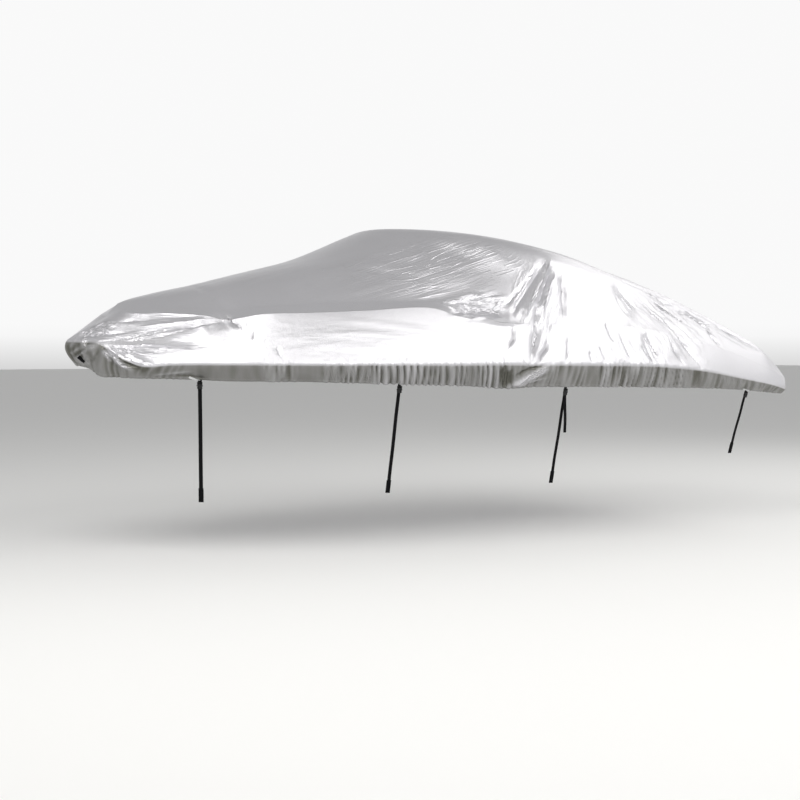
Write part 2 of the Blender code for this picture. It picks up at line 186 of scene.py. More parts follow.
def weaveGroup():
    # plain weave: threads over and under each other, from a UV map in metres
    tree, given, out = newGroup("plain weave", [
        ("UV", "Vector", None), ("Threads", "Float", 1200.0)], [("Height", "Float")])
    flat = addNode(tree, "SeparateXYZ", Vector=given["UV"]).outputs
    along, across = (maths(tree, "MULTIPLY", flat[way], given["Threads"]) for way in "XY")
    warp, weft = (maths(tree, "ABSOLUTE", maths(tree, "SINE", maths(tree, "MULTIPLY", place, math.pi)))
                  for place in (along, across))
    spot = addNode(tree, "CombineXYZ", X=along, Y=across, Z=0.5)
    checker = addNode(tree, "TexChecker", Scale=1.0, Vector=spot.outputs[0])
    height = addNode(tree, "Mix", {"data_type": "FLOAT"}, Factor=checker.outputs["Fac"], in2=warp, in3=weft)
    tree.links.new(height.outputs[0], out["Height"])
    return tree


def ridged(tree, vector, scale, detail, sharpness):
    # 1 on the crests of a noise, 0 between them
    bumpy = addNode(tree, "TexNoise", Vector=vector, Scale=scale, Detail=detail, Roughness=0.5)
    away = maths(tree, "ABSOLUTE", maths(tree, "SUBTRACT", bumpy.outputs["Fac"], 0.5))
    away = maths(tree, "MULTIPLY", away, pattern["ridgeNarrow"])
    crest = maths(tree, "MAXIMUM", maths(tree, "SUBTRACT", 1.0, away), 0.0)
    return maths(tree, "POWER", crest, sharpness)


def crinkleGroup():
    # small creases that handled coated cloth keeps, patchy, at two sizes, as a height in metres
    inputs = [("Vector", "Vector", None), ("Scale", "Float", 9.0), ("Depth", "Float", 0.001)]
    tree, given, out = newGroup("crinkle", inputs, [("Height", "Float")])
    detail = pattern["crinkleDetail"]
    large = ridged(tree, given["Vector"], given["Scale"], detail, pattern["crinkleSharp"])
    smallScale = maths(tree, "MULTIPLY", given["Scale"], pattern["smallFiner"])
    small = ridged(tree, given["Vector"], smallScale, detail, pattern["smallSharp"])
    both = maths(tree, "ADD", large, maths(tree, "MULTIPLY", small, pattern["smallShare"]))
    patchy = addNode(tree, "TexNoise", Vector=given["Vector"], Scale=pattern["patchScale"], Detail=1.0)
    mask = addNode(tree, "MapRange", Value=patchy.outputs["Fac"],
                   **{"From Min": pattern["patchFrom"], "From Max": pattern["patchTo"]})
    total = maths(tree, "MULTIPLY", both, mask.outputs["Result"])
    tree.links.new(maths(tree, "MULTIPLY", total, given["Depth"]), out["Height"])
    return tree


def pullGroup():
    # parallel wrinkles: the vector holds the place across and along them and their height in metres
    tree, given, out = newGroup("pull wrinkles", [
        ("Pull", "Vector", None), ("Seed", "Float", 0.0), ("Finer", "Float", 1.0)], [("Height", "Float")])
    pull = addNode(tree, "SeparateXYZ", Vector=given["Pull"]).outputs
    place = addNode(tree, "CombineXYZ", X=pull["X"], Y=pull["Y"], Z=given["Seed"])
    crest = ridged(tree, place.outputs[0], given["Finer"], pattern["pullDetail"], pattern["pullSharp"])
    tree.links.new(maths(tree, "MULTIPLY", crest, pull["Z"]), out["Height"])
    return tree


def creaseGroup():
    # one sharp crease, from the distance to its line and its height, both in metres
    tree, given, out = newGroup("crease", [
        ("Distance", "Float", 1.0), ("Tall", "Float", 0.0)], [("Height", "Float")])
    away = maths(tree, "DIVIDE", maths(tree, "ABSOLUTE", given["Distance"]), pattern["creaseReach"])
    crest = maths(tree, "MAXIMUM", maths(tree, "SUBTRACT", 1.0, away), 0.0)
    crest = maths(tree, "POWER", crest, pattern["creaseSharp"])
    tree.links.new(maths(tree, "MULTIPLY", crest, given["Tall"]), out["Height"])
    return tree


def stitchGroup():
    # a double row of stitches: the distance to the first row, and the length along it, in metres
    tree, given, out = newGroup("stitching", [
        ("Distance", "Float", 1.0), ("Along", "Float", 0.0)], [("Mask", "Float")])
    step = maths(tree, "FRACT", maths(tree, "DIVIDE", given["Along"], pattern["stitch"]))
    dash = maths(tree, "LESS_THAN", step, pattern["threadShare"])
    rows = []
    for offset in (0.0, pattern["rowsApart"]):
        away = maths(tree, "ABSOLUTE", maths(tree, "SUBTRACT", given["Distance"], offset))
        away = maths(tree, "DIVIDE", away, pattern["thread"])
        rows.append(maths(tree, "MAXIMUM", maths(tree, "SUBTRACT", 1.0, away), 0.0))
    thread = maths(tree, "MULTIPLY", maths(tree, "ADD", *rows), dash)
    tree.links.new(maths(tree, "POWER", thread, 0.5), out["Mask"])
    return tree


def wearGroup():
    # faint stains and rubbed places that shift a colour and a roughness
    tree, given, out = newGroup("wear", [
        ("Vector", "Vector", None), ("Colour", "Color", (0.6, 0.6, 0.6, 1)), ("Amount", "Float", 0.06),
        ("Roughness", "Float", 0.45)], [("Colour", "Color"), ("Roughness", "Float")])
    stain = addNode(tree, "TexNoise", Vector=given["Vector"], Scale=pattern["stainScale"], Detail=5.0,
                    Roughness=0.6)
    rub = addNode(tree, "TexNoise", Vector=given["Vector"], Scale=pattern["rubScale"], Detail=3.0)
    stain, rub = (maths(tree, "SUBTRACT", made.outputs["Fac"], 0.5) for made in (stain, rub))
    swing = maths(tree, "ADD", stain, maths(tree, "MULTIPLY", rub, pattern["rubShare"]))
    swing = maths(tree, "MULTIPLY", swing, given["Amount"])
    bright = addNode(tree, "HueSaturation", Color=given["Colour"], Value=maths(tree, "ADD", swing, 1.0))
    tree.links.new(bright.outputs["Color"], out["Colour"])
    tree.links.new(maths(tree, "ADD", given["Roughness"], swing), out["Roughness"])
    return tree


groups = {"weave": weaveGroup(), "crinkle": crinkleGroup(), "wear": wearGroup(), "pull": pullGroup(),
          "crease": creaseGroup(), "stitches": stitchGroup()}

finishes = {
    "silver cloth": {
        "slot": "coated_cloth", "colour": (0.635, 0.63, 0.655), "roughness": 0.34, "metallic": 0.70,
        "specular": 0.5, "wear": 0.08, "crinkle": 0.0007, "crinkleScale": 8.0, "weave": 0.00012,
        "threads": 1300.0},
    "patch cloth": {
        "slot": "patch_cloth", "colour": (0.74, 0.745, 0.75), "roughness": 0.55, "metallic": 0.0,
        "specular": 0.3, "wear": 0.10, "crinkle": 0.0004, "crinkleScale": 30.0, "weave": 0.00015,
        "threads": 1100.0},
    "black webbing": {
        "slot": "webbing", "colour": (0.005, 0.005, 0.006), "roughness": 0.80, "metallic": 0.0,
        "specular": 0.10, "wear": 0.35, "crinkle": 0.0002, "crinkleScale": 40.0, "weave": 0.0005,
        "threads": 420.0},
    "black plastic": {
        "slot": "buckle_plastic", "colour": (0.009, 0.009, 0.010), "roughness": 0.36, "metallic": 0.0,
        "specular": 0.30, "wear": 0.20, "crinkle": 0.00008, "crinkleScale": 220.0, "weave": 0.0},
}
sewn = {
    "pulls": ("pull1", "pull2", "pull3", "pull4", "gather", "pucker"),   # one attribute each on the cloth
    "finer": (2.2, 2.2, 2.2, 2.2, 1.8, 1.0),       # how much finer than the mesh's own wrinkles
    "seedStep": 3.7,
    # painted shade on the skirt and the foot of the stern: how much of it on level cloth, less of it per cm
    # of height so that hollows stay darker than crests, and the least of it
    "soilBetween": 0.80, "soilRubbed": 0.50, "soilLeast": 0.1,
    "soil": (0.20, 0.20, 0.165),                   # what the skirt keeps of the cloth's colour where its painted shade is full
    "threadColour": (0.44, 0.445, 0.45),
    "threadTall": 0.0002,
}


def mixColour(tree, share, first, second, blend="MIX"):
    settings = {"data_type": "RGBA", "blend_type": blend}
    return addNode(tree, "Mix", settings, in0=share, in6=first, in7=second).outputs[2]


def attribute(tree, name, output="Fac"):
    return addNode(tree, "Attribute", {"attribute_name": name}).outputs[output]


def useGroup(tree, name, **inputs):
    return addNode(tree, "Group", {"node_tree": groups[name]}, **inputs).outputs


def makeFinish(name):
    values = finishes[name]
    made = bpy.data.materials.new(name)
    made.use_nodes = True
    tree = made.node_tree
    shader = tree.nodes["Principled BSDF"]
    shader.inputs["Metallic"].default_value = values["metallic"]
    shader.inputs["Specular IOR Level"].default_value = values["specular"]
    places = addNode(tree, "TexCoord").outputs["Object"]
    flat = addNode(tree, "UVMap", {"uv_map": "cloth"}).outputs["UV"]
    wear = useGroup(tree, "wear", Vector=places, Colour=(*values["colour"], 1), Amount=values["wear"],
                    Roughness=values["roughness"])
    colour = wear["Colour"]
    heights = [useGroup(tree, "crinkle", Vector=places, Scale=values["crinkleScale"],
                        Depth=values["crinkle"])["Height"]]
    if values["weave"]:
        weave = useGroup(tree, "weave", UV=flat, Threads=values["threads"])["Height"]
        heights.append(maths(tree, "MULTIPLY", weave, values["weave"]))
    if name == "silver cloth":
        for seed, (pull, finer) in enumerate(zip(sewn["pulls"], sewn["finer"])):
            heights.append(useGroup(tree, "pull", Pull=attribute(tree, pull, "Vector"),
                                    Seed=sewn["seedStep"] * seed, Finer=finer)["Height"])
        heights.append(useGroup(tree, "crease", Distance=attribute(tree, "creaseAway"),
                                Tall=attribute(tree, "creaseTall"))["Height"])
        along = addNode(tree, "SeparateXYZ", Vector=flat).outputs["X"]
        stitches = useGroup(tree, "stitches", Along=along, Distance=attribute(tree, "stitchAway"))["Mask"]
        heights.append(maths(tree, "MULTIPLY", stitches, sewn["threadTall"]))
        # painted shade: the cloth's colour is multiplied darker on the down-facing skirt and in its pleats'
        # hollows
        soiled = mixColour(tree, attribute(tree, "soil"), colour, (*sewn["soil"], 1), "MULTIPLY")
        colour = mixColour(tree, stitches, soiled, (*sewn["threadColour"], 1))
    height = heights[0]
    for more in heights[1:]:
        height = maths(tree, "ADD", height, more)
    bump = addNode(tree, "Bump", Strength=1.0, Distance=1.0, Height=height)
    tree.links.new(colour, shader.inputs["Base Color"])
    tree.links.new(wear["Roughness"], shader.inputs["Roughness"])
    tree.links.new(bump.outputs["Normal"], shader.inputs["Normal"])
    return made


materials = {name: makeFinish(name) for name in finishes}
print("materials made")


# ---------- the shape that the cloth takes

lineNames = ("hem", "rail", "seam", "shoulder", "spine")
# Each section of one half, from the bow round to the stern corner. The skirt lies between hem and
# rail, the side between rail and seam, the top inside the seam.
sections = {
    "stem": ((8.5, 0, 119), (0.5, 0, 134.5), (25.5, 0, 149), (30, 0, 154), (35, 0, 158.5)),
    "face": ((12.5, 10, 117), (5.8, 14, 134.3), (26.8, 9, 150.5), (33, 7, 155.2), (40, 0, 160.4)),
    "corner": ((15.5, 20, 112.5), (12.6, 25, 133.5), (30.5, 17, 151.8), (37, 13, 156.3), (46, 0, 162.2)),
    "flare": ((23.6, 28, 111.8), (19.5, 33.5, 126.2), (35.5, 24, 152), (43, 19, 156.2), (55, 0, 164.3)),
    "cheek": ((34, 38, 111.3), (32, 46, 118.6), (44, 34, 151.7), (50.5, 28, 156), (65, 0, 166.6)),
    "bow": ((49, 49, 110.9), (45.7, 58, 119.4), (56.2, 44, 151.4), (62.5, 36, 156.2), (78, 0, 169.4)),
    "strap 1": ((65.6, 61, 110.2), (61.4, 70, 119.7), (70.9, 56, 150.1), (77, 46, 156), (93, 0, 172.6)),
    "pinch": ((80.9, 70, 109.5), (76.5, 79, 119.7), (83.2, 63, 148), (89, 53, 155.2), (108, 0, 176.2)),
    "rail 1": ((97.5, 78, 109.3), (92.5, 87.5, 119.6), (99.7, 74, 151), (104, 62, 157.2), (122, 0, 179.6)),
    "rail 2": ((125.8, 88, 108.9), (120.1, 98, 119.4), (128.1, 84, 152), (130, 70, 159), (145, 0, 185.2)),
    "rail 3": ((161.5, 95, 107.8), (154.8, 106, 119.3), (164, 91, 153.7), (162, 78, 160.6), (168, 0, 191.2)),
    "rail 4": ((207.6, 100, 106.2), (199.8, 111.5, 119), (212.6, 96, 155.9), (213, 86, 162), (193, 0, 201)),
    "sag": ((238.2, 101, 105.1), (229.9, 113, 119), (232, 100, 149.8), (246.8, 88, 168.6), (206, 0, 206.6)),
    "pocket": ((268.1, 102, 103), (259, 114, 119.2), (261.4, 103, 145.8), (275, 85, 178.7), (215, 0, 210.3)),
    "wing": ((291.2, 103, 103.9), (282.2, 114, 118.7), (286, 103, 145.7), (299.6, 87, 186.2),
             (222.5, 0, 213)),
    "screen": ((314.9, 103, 103.6), (305.5, 114, 118.6), (313.5, 103, 145.9), (323.5, 85, 196.4),
               (233, 0, 213.7)),
    "aft 1": ((353.3, 103, 103), (343.3, 114, 118.2), (350.7, 103, 145.6), (355.2, 83, 190.9),
              (280, 0, 212.5)),
    "aft 2": ((397.9, 103, 102.1), (387.7, 114, 117.4), (393.8, 103, 142.8), (401, 80, 177), (348, 0, 200.5)),
    "aft 3": ((449.7, 102, 100.6), (439.2, 112, 113.4), (444.4, 103, 134.4), (451.4, 82, 159.6),
              (422, 0, 182.5)),
    "strap 4": ((490.6, 101, 98.7), (480.7, 110, 107.2), (485.1, 103, 123.3), (490.5, 88, 143),
                (478, 0, 162)),
    "quarter": ((516, 101, 96.5), (511, 108, 102.6), (513, 104, 113.5), (513.5, 94, 131), (511, 0, 143)),
    "stern": ((528, 101, 95.5), (530, 104, 98.8), (530, 103, 108), (528.5, 97, 116.2), (533.5, 0, 125)),
}
# The elastic hem rides higher round the starboard side of the bow and of the stern.
starboardHem = {"face": 118.6, "corner": 118.7, "flare": 118.5, "cheek": 115.4,
                "strap 4": 99.4, "quarter": 98.0, "stern": 97.4}

drape = {
    "thickness": 0.0022,
    "pitch": 1.55,                     # cm between two lines of points
    "finePitch": 1.05,                 # where the folds are close
    "fineFrom": ("stem", "face", "corner", "flare", "cheek", "bow", "rail 4", "sag", "pocket", "wing",
                 "screen", "aft 1"),
    "skirtRows": (0, 0.02, 0.05, 0.08, 0.11, 0.135, 0.16, 0.20, 0.26, 0.32, 0.38, 0.45, 0.52, 0.59, 0.66,
                  0.73, 0.80, 0.87, 0.93),
    "sideRows": 32,
    "shoulderRows": 30,
    "topRows": {port: 24, starboard: 18},
    "skirtBelly": 0.8,
    "stemBelly": 2.6,
    "stemReach": 40.0,
    "sideBelly": 0.6,
    "bowCentre": 120.0,
    "topReach": 0.72,
    "hemDepth": 2.0,                   # the casing that holds the elastic
    "hemSwell": 0.22,
    "seamBand": 1.6,                   # the top's edge, turned under and sewn down over the side
    "seamStep": 0.03,
}


def smoothLine(points, steps):
    points = np.array(points, dtype=float)
    ends = np.vstack([2 * points[0] - points[1], points, 2 * points[-1] - points[-2]])
    line = [points[:1]]
    for i, count in enumerate(steps):
        a, b, c, d = ends[i:i + 4]
        ab, bc, cd = (np.linalg.norm(q - p) ** 0.5 for p, q in ((a, b), (b, c), (c, d)))
        leave = bc * ((b - a) / ab - (c - a) / (ab + bc) + (c - b) / bc)
        arrive = bc * ((c - b) / bc - (d - b) / (bc + cd) + (d - c) / cd)
        t = (np.arange(1, count + 1) / count)[:, None]
        line.append((2 * t ** 3 - 3 * t ** 2 + 1) * b + (t ** 3 - 2 * t ** 2 + t) * leave
                    + (3 * t ** 2 - 2 * t ** 3) * c + (t ** 3 - t ** 2) * arrive)
    return np.vstack(line)


def smoothStep(t):
    t = np.clip(t, 0, 1)
    return t * t * (3 - 2 * t)


def unit(vectors):
    return vectors / np.maximum(np.linalg.norm(vectors, axis=-1, keepdims=True), 1e-9)


def longLines(side):
    table = {line: [] for line in lineNames}
    for name, row in sections.items():
        for line, (x, y, z) in zip(lineNames, row):
            if line == "hem" and side == starboard:
                z = starboardHem.get(name, z)
            table[line].append((x, side * y, z))
    steps = []
    for name, p, q in zip(sections, table["rail"], table["rail"][1:]):
        pitch = drape["finePitch"] if name in drape["fineFrom"] else drape["pitch"]
        steps.append(max(3, round(math.dist(p, q) / pitch)))
    return {line: smoothLine(points, steps) for line, points in table.items()}


def halfSurface(side):
    # all the sections of one half at once: points[i, j], with j from hem to spine
    hem, rail, seam, shoulder, spine = longLines(side).values()
    out = unit(np.stack([np.minimum(0, rail[:, 0] - drape["bowCentre"]), rail[:, 1], 0 * rail[:, 0]], axis=1))
    out[0] = (-1, 0, 0)
    belly = drape["skirtBelly"] + drape["stemBelly"] * np.maximum(0, 1 - rail[:, :1] / drape["stemReach"])
    rows = [hem + (rail - hem) * t + out * belly * 4 * t * (1 - t) for t in drape["skirtRows"]]
    for k in range(drape["sideRows"] + 1):
        t = k / drape["sideRows"]
        rows.append(rail + (seam - rail) * t + out * drape["sideBelly"] * 4 * t * (1 - t))
    for k in range(1, drape["shoulderRows"] + 1):
        rows.append(seam + (shoulder - seam) * k / drape["shoulderRows"])
    bend = np.stack([spine[:, 0], drape["topReach"] * shoulder[:, 1], spine[:, 2]], axis=1)
    for k in range(1, drape["topRows"][side] + 1):
        t = k / drape["topRows"][side]
        rows.append((1 - t) ** 2 * shoulder + 2 * t * (1 - t) * bend + t * t * spine)
    return np.stack(rows, axis=1)


rowAt = {"rail": len(drape["skirtRows"])}
rowAt["seam"] = rowAt["rail"] + drape["sideRows"]
rowAt["shoulder"] = rowAt["seam"] + drape["shoulderRows"]

rounding = {
    # line: (rows to either side, strength, rounds)
    "rail": (3, 1.0, 5),
    "seam": (2, 0.5, 2),
    "shoulder": (9, 1.0, 26),
}


def soften(points, row, reach, strength, rounds):
    # draws the rows beside a line towards their neighbours, so that the edge turns over a radius
    rows = np.arange(row - reach, row + reach + 1)
    weight = strength * (1 - (np.abs(rows - row) / (reach + 1)) ** 2)
    for turn in range(rounds):
        middle = (points[:, rows - 1] + points[:, rows + 1]) / 2
        points[:, rows] += 0.5 * weight[None, :, None] * (middle - points[:, rows])


def wholeSurface():
    halves = {side: halfSurface(side) for side in (port, starboard)}
    for points in halves.values():
        for line, (reach, strength, rounds) in rounding.items():
            soften(points, rowAt[line], reach, strength, rounds)
    return np.concatenate([halves[port], halves[starboard][:, -2::-1]], axis=1)


def outward(points):
    normals = unit(np.cross(np.gradient(points, axis=0), np.gradient(points, axis=1)))
    normals[0, :, 1] = 0               # both halves meet there, so neither leans over the centreline
    normals[0] = unit(normals[0])
    return normals


surface = wholeSurface()
rowCount = surface.shape[1]
seamRows = (rowAt["seam"], rowCount - 1 - rowAt["seam"])
print("surface of", surface.shape[0], "by", rowCount, "points")


# ---------- folds

# name: (height, reach, crispness, points of its line). A trough is negative.
folds = {
    # the forms that the solids have too
    "bow ridge": (1.3, 8, 0.2, ((14, -25, 134), (79, -63, 145))),
    "bow trough": (-1.1, 6, 0.3, ((14, -26, 132), (65, -65, 131))),
    "bow corner ridge": (1.5, 5, 0.5, ((15, -28, 129), (27, -40, 119))),
    "bow corner trough": (-1.3, 6, 0.3, ((18, -31, 130), (33, -46, 118))),
    "bow pinch": (-1.5, 9, 0.2, ((82, -62, 149), (66, -58, 142))),
    "pocket": (-4.0, 10, 0.0, ((234, -97, 157), (268, -98, 157))),
    "pocket lip": (1.2, 5, 0.2, ((226, -99, 150), (270, -102, 148))),
    "screen trough 1": (-1.0, 4, 0.6, ((311, -87, 188), (276, -100, 154))),
    "screen ridge 1": (1.2, 4, 0.6, ((317, -87, 190), (289, -100, 156))),
    "screen trough 2": (-0.9, 3.6, 0.6, ((318, -89, 186), (298, -98, 160))),
    "side trough 2": (-1.2, 4.5, 0.5, ((298, -98, 160), (280, -113, 124))),
    "screen trough 3": (-1.2, 5, 0.5, ((324, -91, 180), (317, -102, 151))),
    "aft top trough": (-1.2, 9, 0.2, ((375, -86, 176), (384, -100, 150))),
    "aft long trough": (-1.9, 9, 0.2, ((398, -89, 163), (417, -101, 142), (434, -112, 117))),
    "aft long ridge": (1.2, 8, 0.3, ((413, -86, 165), (441, -97, 142))),
    "aft side trough": (-1.4, 7, 0.2, ((386, -104, 141), (394, -114, 119))),
    "aft shoulder": (-1.3, 8, 0.2, ((434, -87, 158), (467, -92, 143))),
    "quarter trough": (-1.5, 9, 0.2, ((470, -87, 149), (508, -96, 129))),
    "knot ridge": (1.7, 5, 0.5, ((269, -104, 105), (296, -113, 117))),
    "knot trough": (-1.6, 6, 0.3, ((260, -112, 115), (268, -103, 104))),
    "top ridge 1": (0.5, 14, 0.0, ((150, -45, 180), (215, -50, 197))),
    "top trough 1": (-0.5, 14, 0.0, ((128, -60, 164), (226, -66, 188))),
    "top ridge 2": (0.3, 10, 0.0, ((178, -78, 163), (262, -82, 186))),
    "starboard pocket": (-3.0, 12, 0.0, ((236, 97, 157), (270, 98, 157))),
    "starboard screen": (-2.0, 9, 0.2, ((318, 88, 188), (290, 104, 146))),
    "starboard long": (-1.8, 10, 0.2, ((392, 89, 166), (430, 112, 118))),
    "starboard bow": (-1.2, 8, 0.2, ((15, 27, 132), (62, 64, 130))),
    # bow
    "bow edge": (0.8, 2.6, 0.8, (
        (13, -24, 134), (28, -34, 134), (45, -47, 136), (60, -56, 141), (77, -61, 145))),
    "bow under edge": (-0.6, 2.4, 0.5, ((18, -27, 134), (33, -37, 137), (49, -47, 141), (63, -56, 144))),
    "bow long dark": (-0.8, 2.6, 0.6, (
        (13, -25, 133), (24, -32, 132), (36, -41, 133), (50, -53, 132), (65, -65, 131))),
    "bow long ridge": (0.5, 2.4, 0.7, ((16, -27, 131), (30, -37, 130), (46, -50, 130), (58, -61, 129))),
    "bow low dark": (-0.7, 2.6, 0.6, ((14, -26, 132), (22, -32, 130), (33, -40, 128), (43, -50, 127))),
    "bow fan 1": (-1.2, 2.8, 0.6, (
        (16, -28, 131), (20, -32, 127), (23, -37, 122), (28, -42, 119), (33, -44, 117))),
    "bow fan 2": (1.6, 2.2, 0.7, ((16, -31, 128), (21, -35, 122), (26, -39, 117))),
    "bow fan 3": (-0.9, 2.2, 0.6, ((14, -26, 132), (15, -30, 127), (17, -31, 123), (20, -32, 119))),
    "bow fan 4": (1.4, 1.9, 0.7, ((14, -28, 130), (16, -30, 124), (19, -32, 120))),
    "bow fan 5": (-0.7, 2.6, 0.5, ((22, -32, 129), (28, -37, 126), (33, -43, 123), (37, -49, 121))),
    "bow crest": (0.8, 3.0, 0.6, ((4, -4, 136), (11, -7, 140), (18, -13, 144), (24, -17, 147))),
    "bow pleat 1": (0.6, 2.2, 0.8, ((11, -12, 139), (14, -12, 141), (15, -20, 139))),
    "bow pleat 2": (0.6, 2.2, 0.8, ((15, -19, 139), (19, -19, 142), (20, -25, 139))),
    "bow pleat 3": (0.5, 2.2, 0.8, ((19, -23, 140), (20, -18, 143), (23, -19, 145))),
    "bow pleat 4": (-0.6, 2.4, 0.6, ((8, -10, 137), (13, -19, 137), (21, -26, 139), (30, -32, 140))),
    "deck line 1": (0.4, 2.6, 0.6, ((30, -9, 153), (35, -25, 151), (44, -34, 151), (53, -42, 151))),
    "deck line 2": (-0.6, 2.8, 0.6, ((28, -22, 146), (38, -32, 147), (51, -42, 149), (65, -52, 150))),
    "deck line 3": (0.5, 2.6, 0.6, ((35, -32, 143), (49, -44, 145), (64, -54, 147), (75, -58, 148))),
    "deck line 4": (-0.6, 2.6, 0.6, ((31, -34, 139), (46, -44, 141), (63, -56, 143), (77, -61, 146))),
    "pinch dart": (-1.1, 3.0, 0.5, ((83, -59, 150), (84, -64, 146), (86, -69, 143))),
    "shade band": (-0.7, 6.0, 0.0, ((83, -12, 170), (83, -32, 165), (84, -47, 158), (85, -55, 153))),
    "dimple 1": (-0.7, 2.0, 0.5, ((93.5, -76, 141), (91, -78, 135))),
    "dimple 2": (-0.7, 2.0, 0.5, ((102, -86, 131), (103.5, -89, 126))),
    "face rim": (-0.9, 3.4, 0.3, ((1, -1, 133), (3, -1, 128), (7, -2, 122))),
    "face fold 1": (-0.8, 2.2, 0.5, ((4, -5, 125), (5, -11, 127), (7, -15, 128))),
    "face fold 2": (0.9, 2.0, 0.7, ((5, -7, 125), (6, -14, 127), (8, -19, 129))),
    "face fold 3": (0.6, 2.2, 0.6, ((6, -14, 133), (8, -17, 130), (11, -24, 131))),
    "face fold 4": (-0.6, 2.4, 0.5, ((10, -11, 121), (11, -21, 124), (12, -25, 128))),
    "cheek fold 1": (0.5, 2.0, 0.6, ((39, -45, 113), (47, -53, 115), (57, -63, 116))),
    "cheek fold 2": (-0.4, 2.0, 0.6, ((50, -53, 113), (58, -60, 113), (66, -63, 111))),
    # top
    "top line 1": (0.45, 2.4, 0.8, (
        (148, -42, 181), (165, -50, 183), (186, -51, 189), (204, -48, 196), (223, -44, 205))),
    "top line 2": (0.45, 2.4, 0.8, ((152, -50, 178), (168, -54, 181), (191, -54, 188), (200, -54, 193))),
    "top line 3": (0.6, 2.6, 0.8, ((188, -61, 182), (208, -62, 189), (239, -65, 198), (256, -63, 203))),
    "top line 4": (0.5, 2.4, 0.8, ((193, -72, 175), (211, -72, 181), (232, -76, 187), (260, -75, 194))),
    "top line 5": (0.5, 2.4, 0.8, (
        (192, -76, 171), (210, -78, 176), (228, -81, 182), (261, -79, 191), (287, -77, 199))),
    "top line 6": (0.5, 2.4, 0.8, ((214, -63, 191), (226, -65, 195), (240, -64, 199))),
    "top line 7": (0.4, 2.4, 0.7, ((205, -85, 161), (224, -87, 166), (245, -90, 172))),
    "top line 8": (0.5, 2.4, 0.8, ((219, -71, 187), (241, -73, 192), (266, -72, 198), (284, -73, 201))),
    "top line 9": (0.5, 2.4, 0.8, ((213, -80, 175), (228, -84, 177), (249, -85, 183), (280, -81, 191))),
    "top line 10": (0.5, 2.4, 0.8, ((222, -83, 175), (243, -87, 179), (269, -84, 185), (291, -82, 191))),
    "top line 11": (0.6, 2.6, 0.8, ((212, -81, 171), (228, -86, 172), (250, -88, 178), (275, -86, 185))),
    "top line 12": (0.7, 2.8, 0.8, ((224, -87, 166), (245, -91, 173), (270, -89, 179), (292, -86, 186))),
    "top line 13": (0.8, 2.8, 0.8, ((225, -91, 161), (239, -92, 166), (256, -92, 173), (273, -90, 178))),
    # pocket
    "pocket edge": (0.9, 2.6, 0.8, (
        (222, -93, 159), (231, -96, 155), (243, -99, 150), (261, -103, 146), (280, -103, 146))),
    "pocket crest": (0.9, 3.0, 0.7, (
        (224, -92, 160), (235, -93, 163), (246, -94, 167), (258, -94, 169), (271, -92, 173))),
    "pocket crease 1": (-0.9, 2.6, 0.6, ((243, -94, 164), (250, -94, 163), (268, -94, 167))),
    "pocket crease 2": (0.8, 2.4, 0.8, ((237, -94, 158), (245, -95, 155), (252, -97, 153), (262, -97, 154))),
    "pocket crease 3": (-0.8, 2.4, 0.6, ((250, -94, 159), (257, -96, 155), (260, -97, 153))),
    "pocket crease 4": (0.8, 2.4, 0.8, ((240, -94, 162), (248, -94, 159), (254, -94, 160))),
    "pocket crease 5": (0.9, 2.6, 0.7, ((267, -95, 162), (261, -96, 157), (265, -99, 151))),
    "pocket crease 6": (-0.7, 2.2, 0.6, ((233, -94, 160), (240, -94, 161), (244, -94, 159))),
    # folds that fan down from the corner of the screen
    "screen fold 1": (-1.4, 4.0, 0.4, (
        (301, -89, 178), (292, -92, 170), (284, -95, 162), (277, -98, 154), (274, -101, 149))),
    "screen fold 2": (-1.0, 3.2, 0.5, ((294, -89, 176), (287, -92, 169), (277, -96, 162), (270, -97, 158))),
    "screen fold 3": (-1.0, 3.0, 0.5, (
        (318, -88, 185), (309, -91, 177), (303, -94, 168), (297, -97, 159), (293, -101, 148))),
    "screen fold 4": (-1.2, 3.2, 0.5, (
        (293, -101, 148), (291, -105, 139), (285, -109, 130), (279, -113, 120))),
    "screen fold 5": (-1.1, 3.6, 0.4, ((320, -89, 183), (323, -93, 168), (320, -97, 158), (317, -101, 150))),
    "screen fold 6": (1.3, 3.2, 0.6, ((301, -90, 174), (295, -94, 166), (287, -99, 156), (282, -102, 148))),
    "screen fold 7": (1.3, 3.2, 0.6, ((316, -91, 178), (308, -94, 168), (301, -98, 158), (299, -101, 150))),
    "screen fold 8": (-0.7, 2.6, 0.5, ((307, -89, 183), (301, -88, 180), (294, -89, 177))),
    # creases down the side, aft of the screen
    "side crease 1": (-1.0, 2.8, 0.6, (
        (298, -107, 136), (295, -110, 130), (289, -112, 125), (286, -113, 120))),
    "side crease 2": (-0.7, 2.6, 0.6, ((272, -104, 144), (269, -108, 136), (263, -110, 130))),
    "side crease 3": (-0.6, 2.4, 0.6, ((316, -107, 138), (313, -111, 128), (309, -113, 120))),
    "side crease 4": (-0.6, 2.2, 0.6, ((332, -111, 128), (332, -113, 120))),
    "side crease 5": (-0.8, 2.6, 0.7, ((354, -102, 147), (354, -106, 140), (356, -108, 133))),
    "side crease 6": (-0.9, 2.6, 0.7, ((364, -106, 138), (365, -110, 130), (368, -113, 121))),
    "side crease 7": (-0.8, 2.4, 0.7, ((385, -106, 136), (387, -109, 130), (388, -113, 119))),
    "side crease 8": (-0.9, 2.6, 0.7, ((410, -105, 135), (412, -109, 127), (418, -112, 118))),
    "side crease 9": (-0.6, 2.2, 0.6, ((342, -109, 131), (344, -112, 125), (345, -113, 120))),
    "long crease 1": (-1.0, 2.8, 0.7, (
        (399, -88, 166), (405, -89, 160), (414, -94, 151), (421, -101, 138), (428, -107, 126),
        (436, -111, 115))),
    "long crease 2": (-0.7, 2.6, 0.7, ((374, -87, 173), (380, -91, 163), (385, -96, 155))),
    "long crease 3": (-0.8, 2.6, 0.7, ((373, -91, 166), (375, -93, 161), (380, -98, 151))),
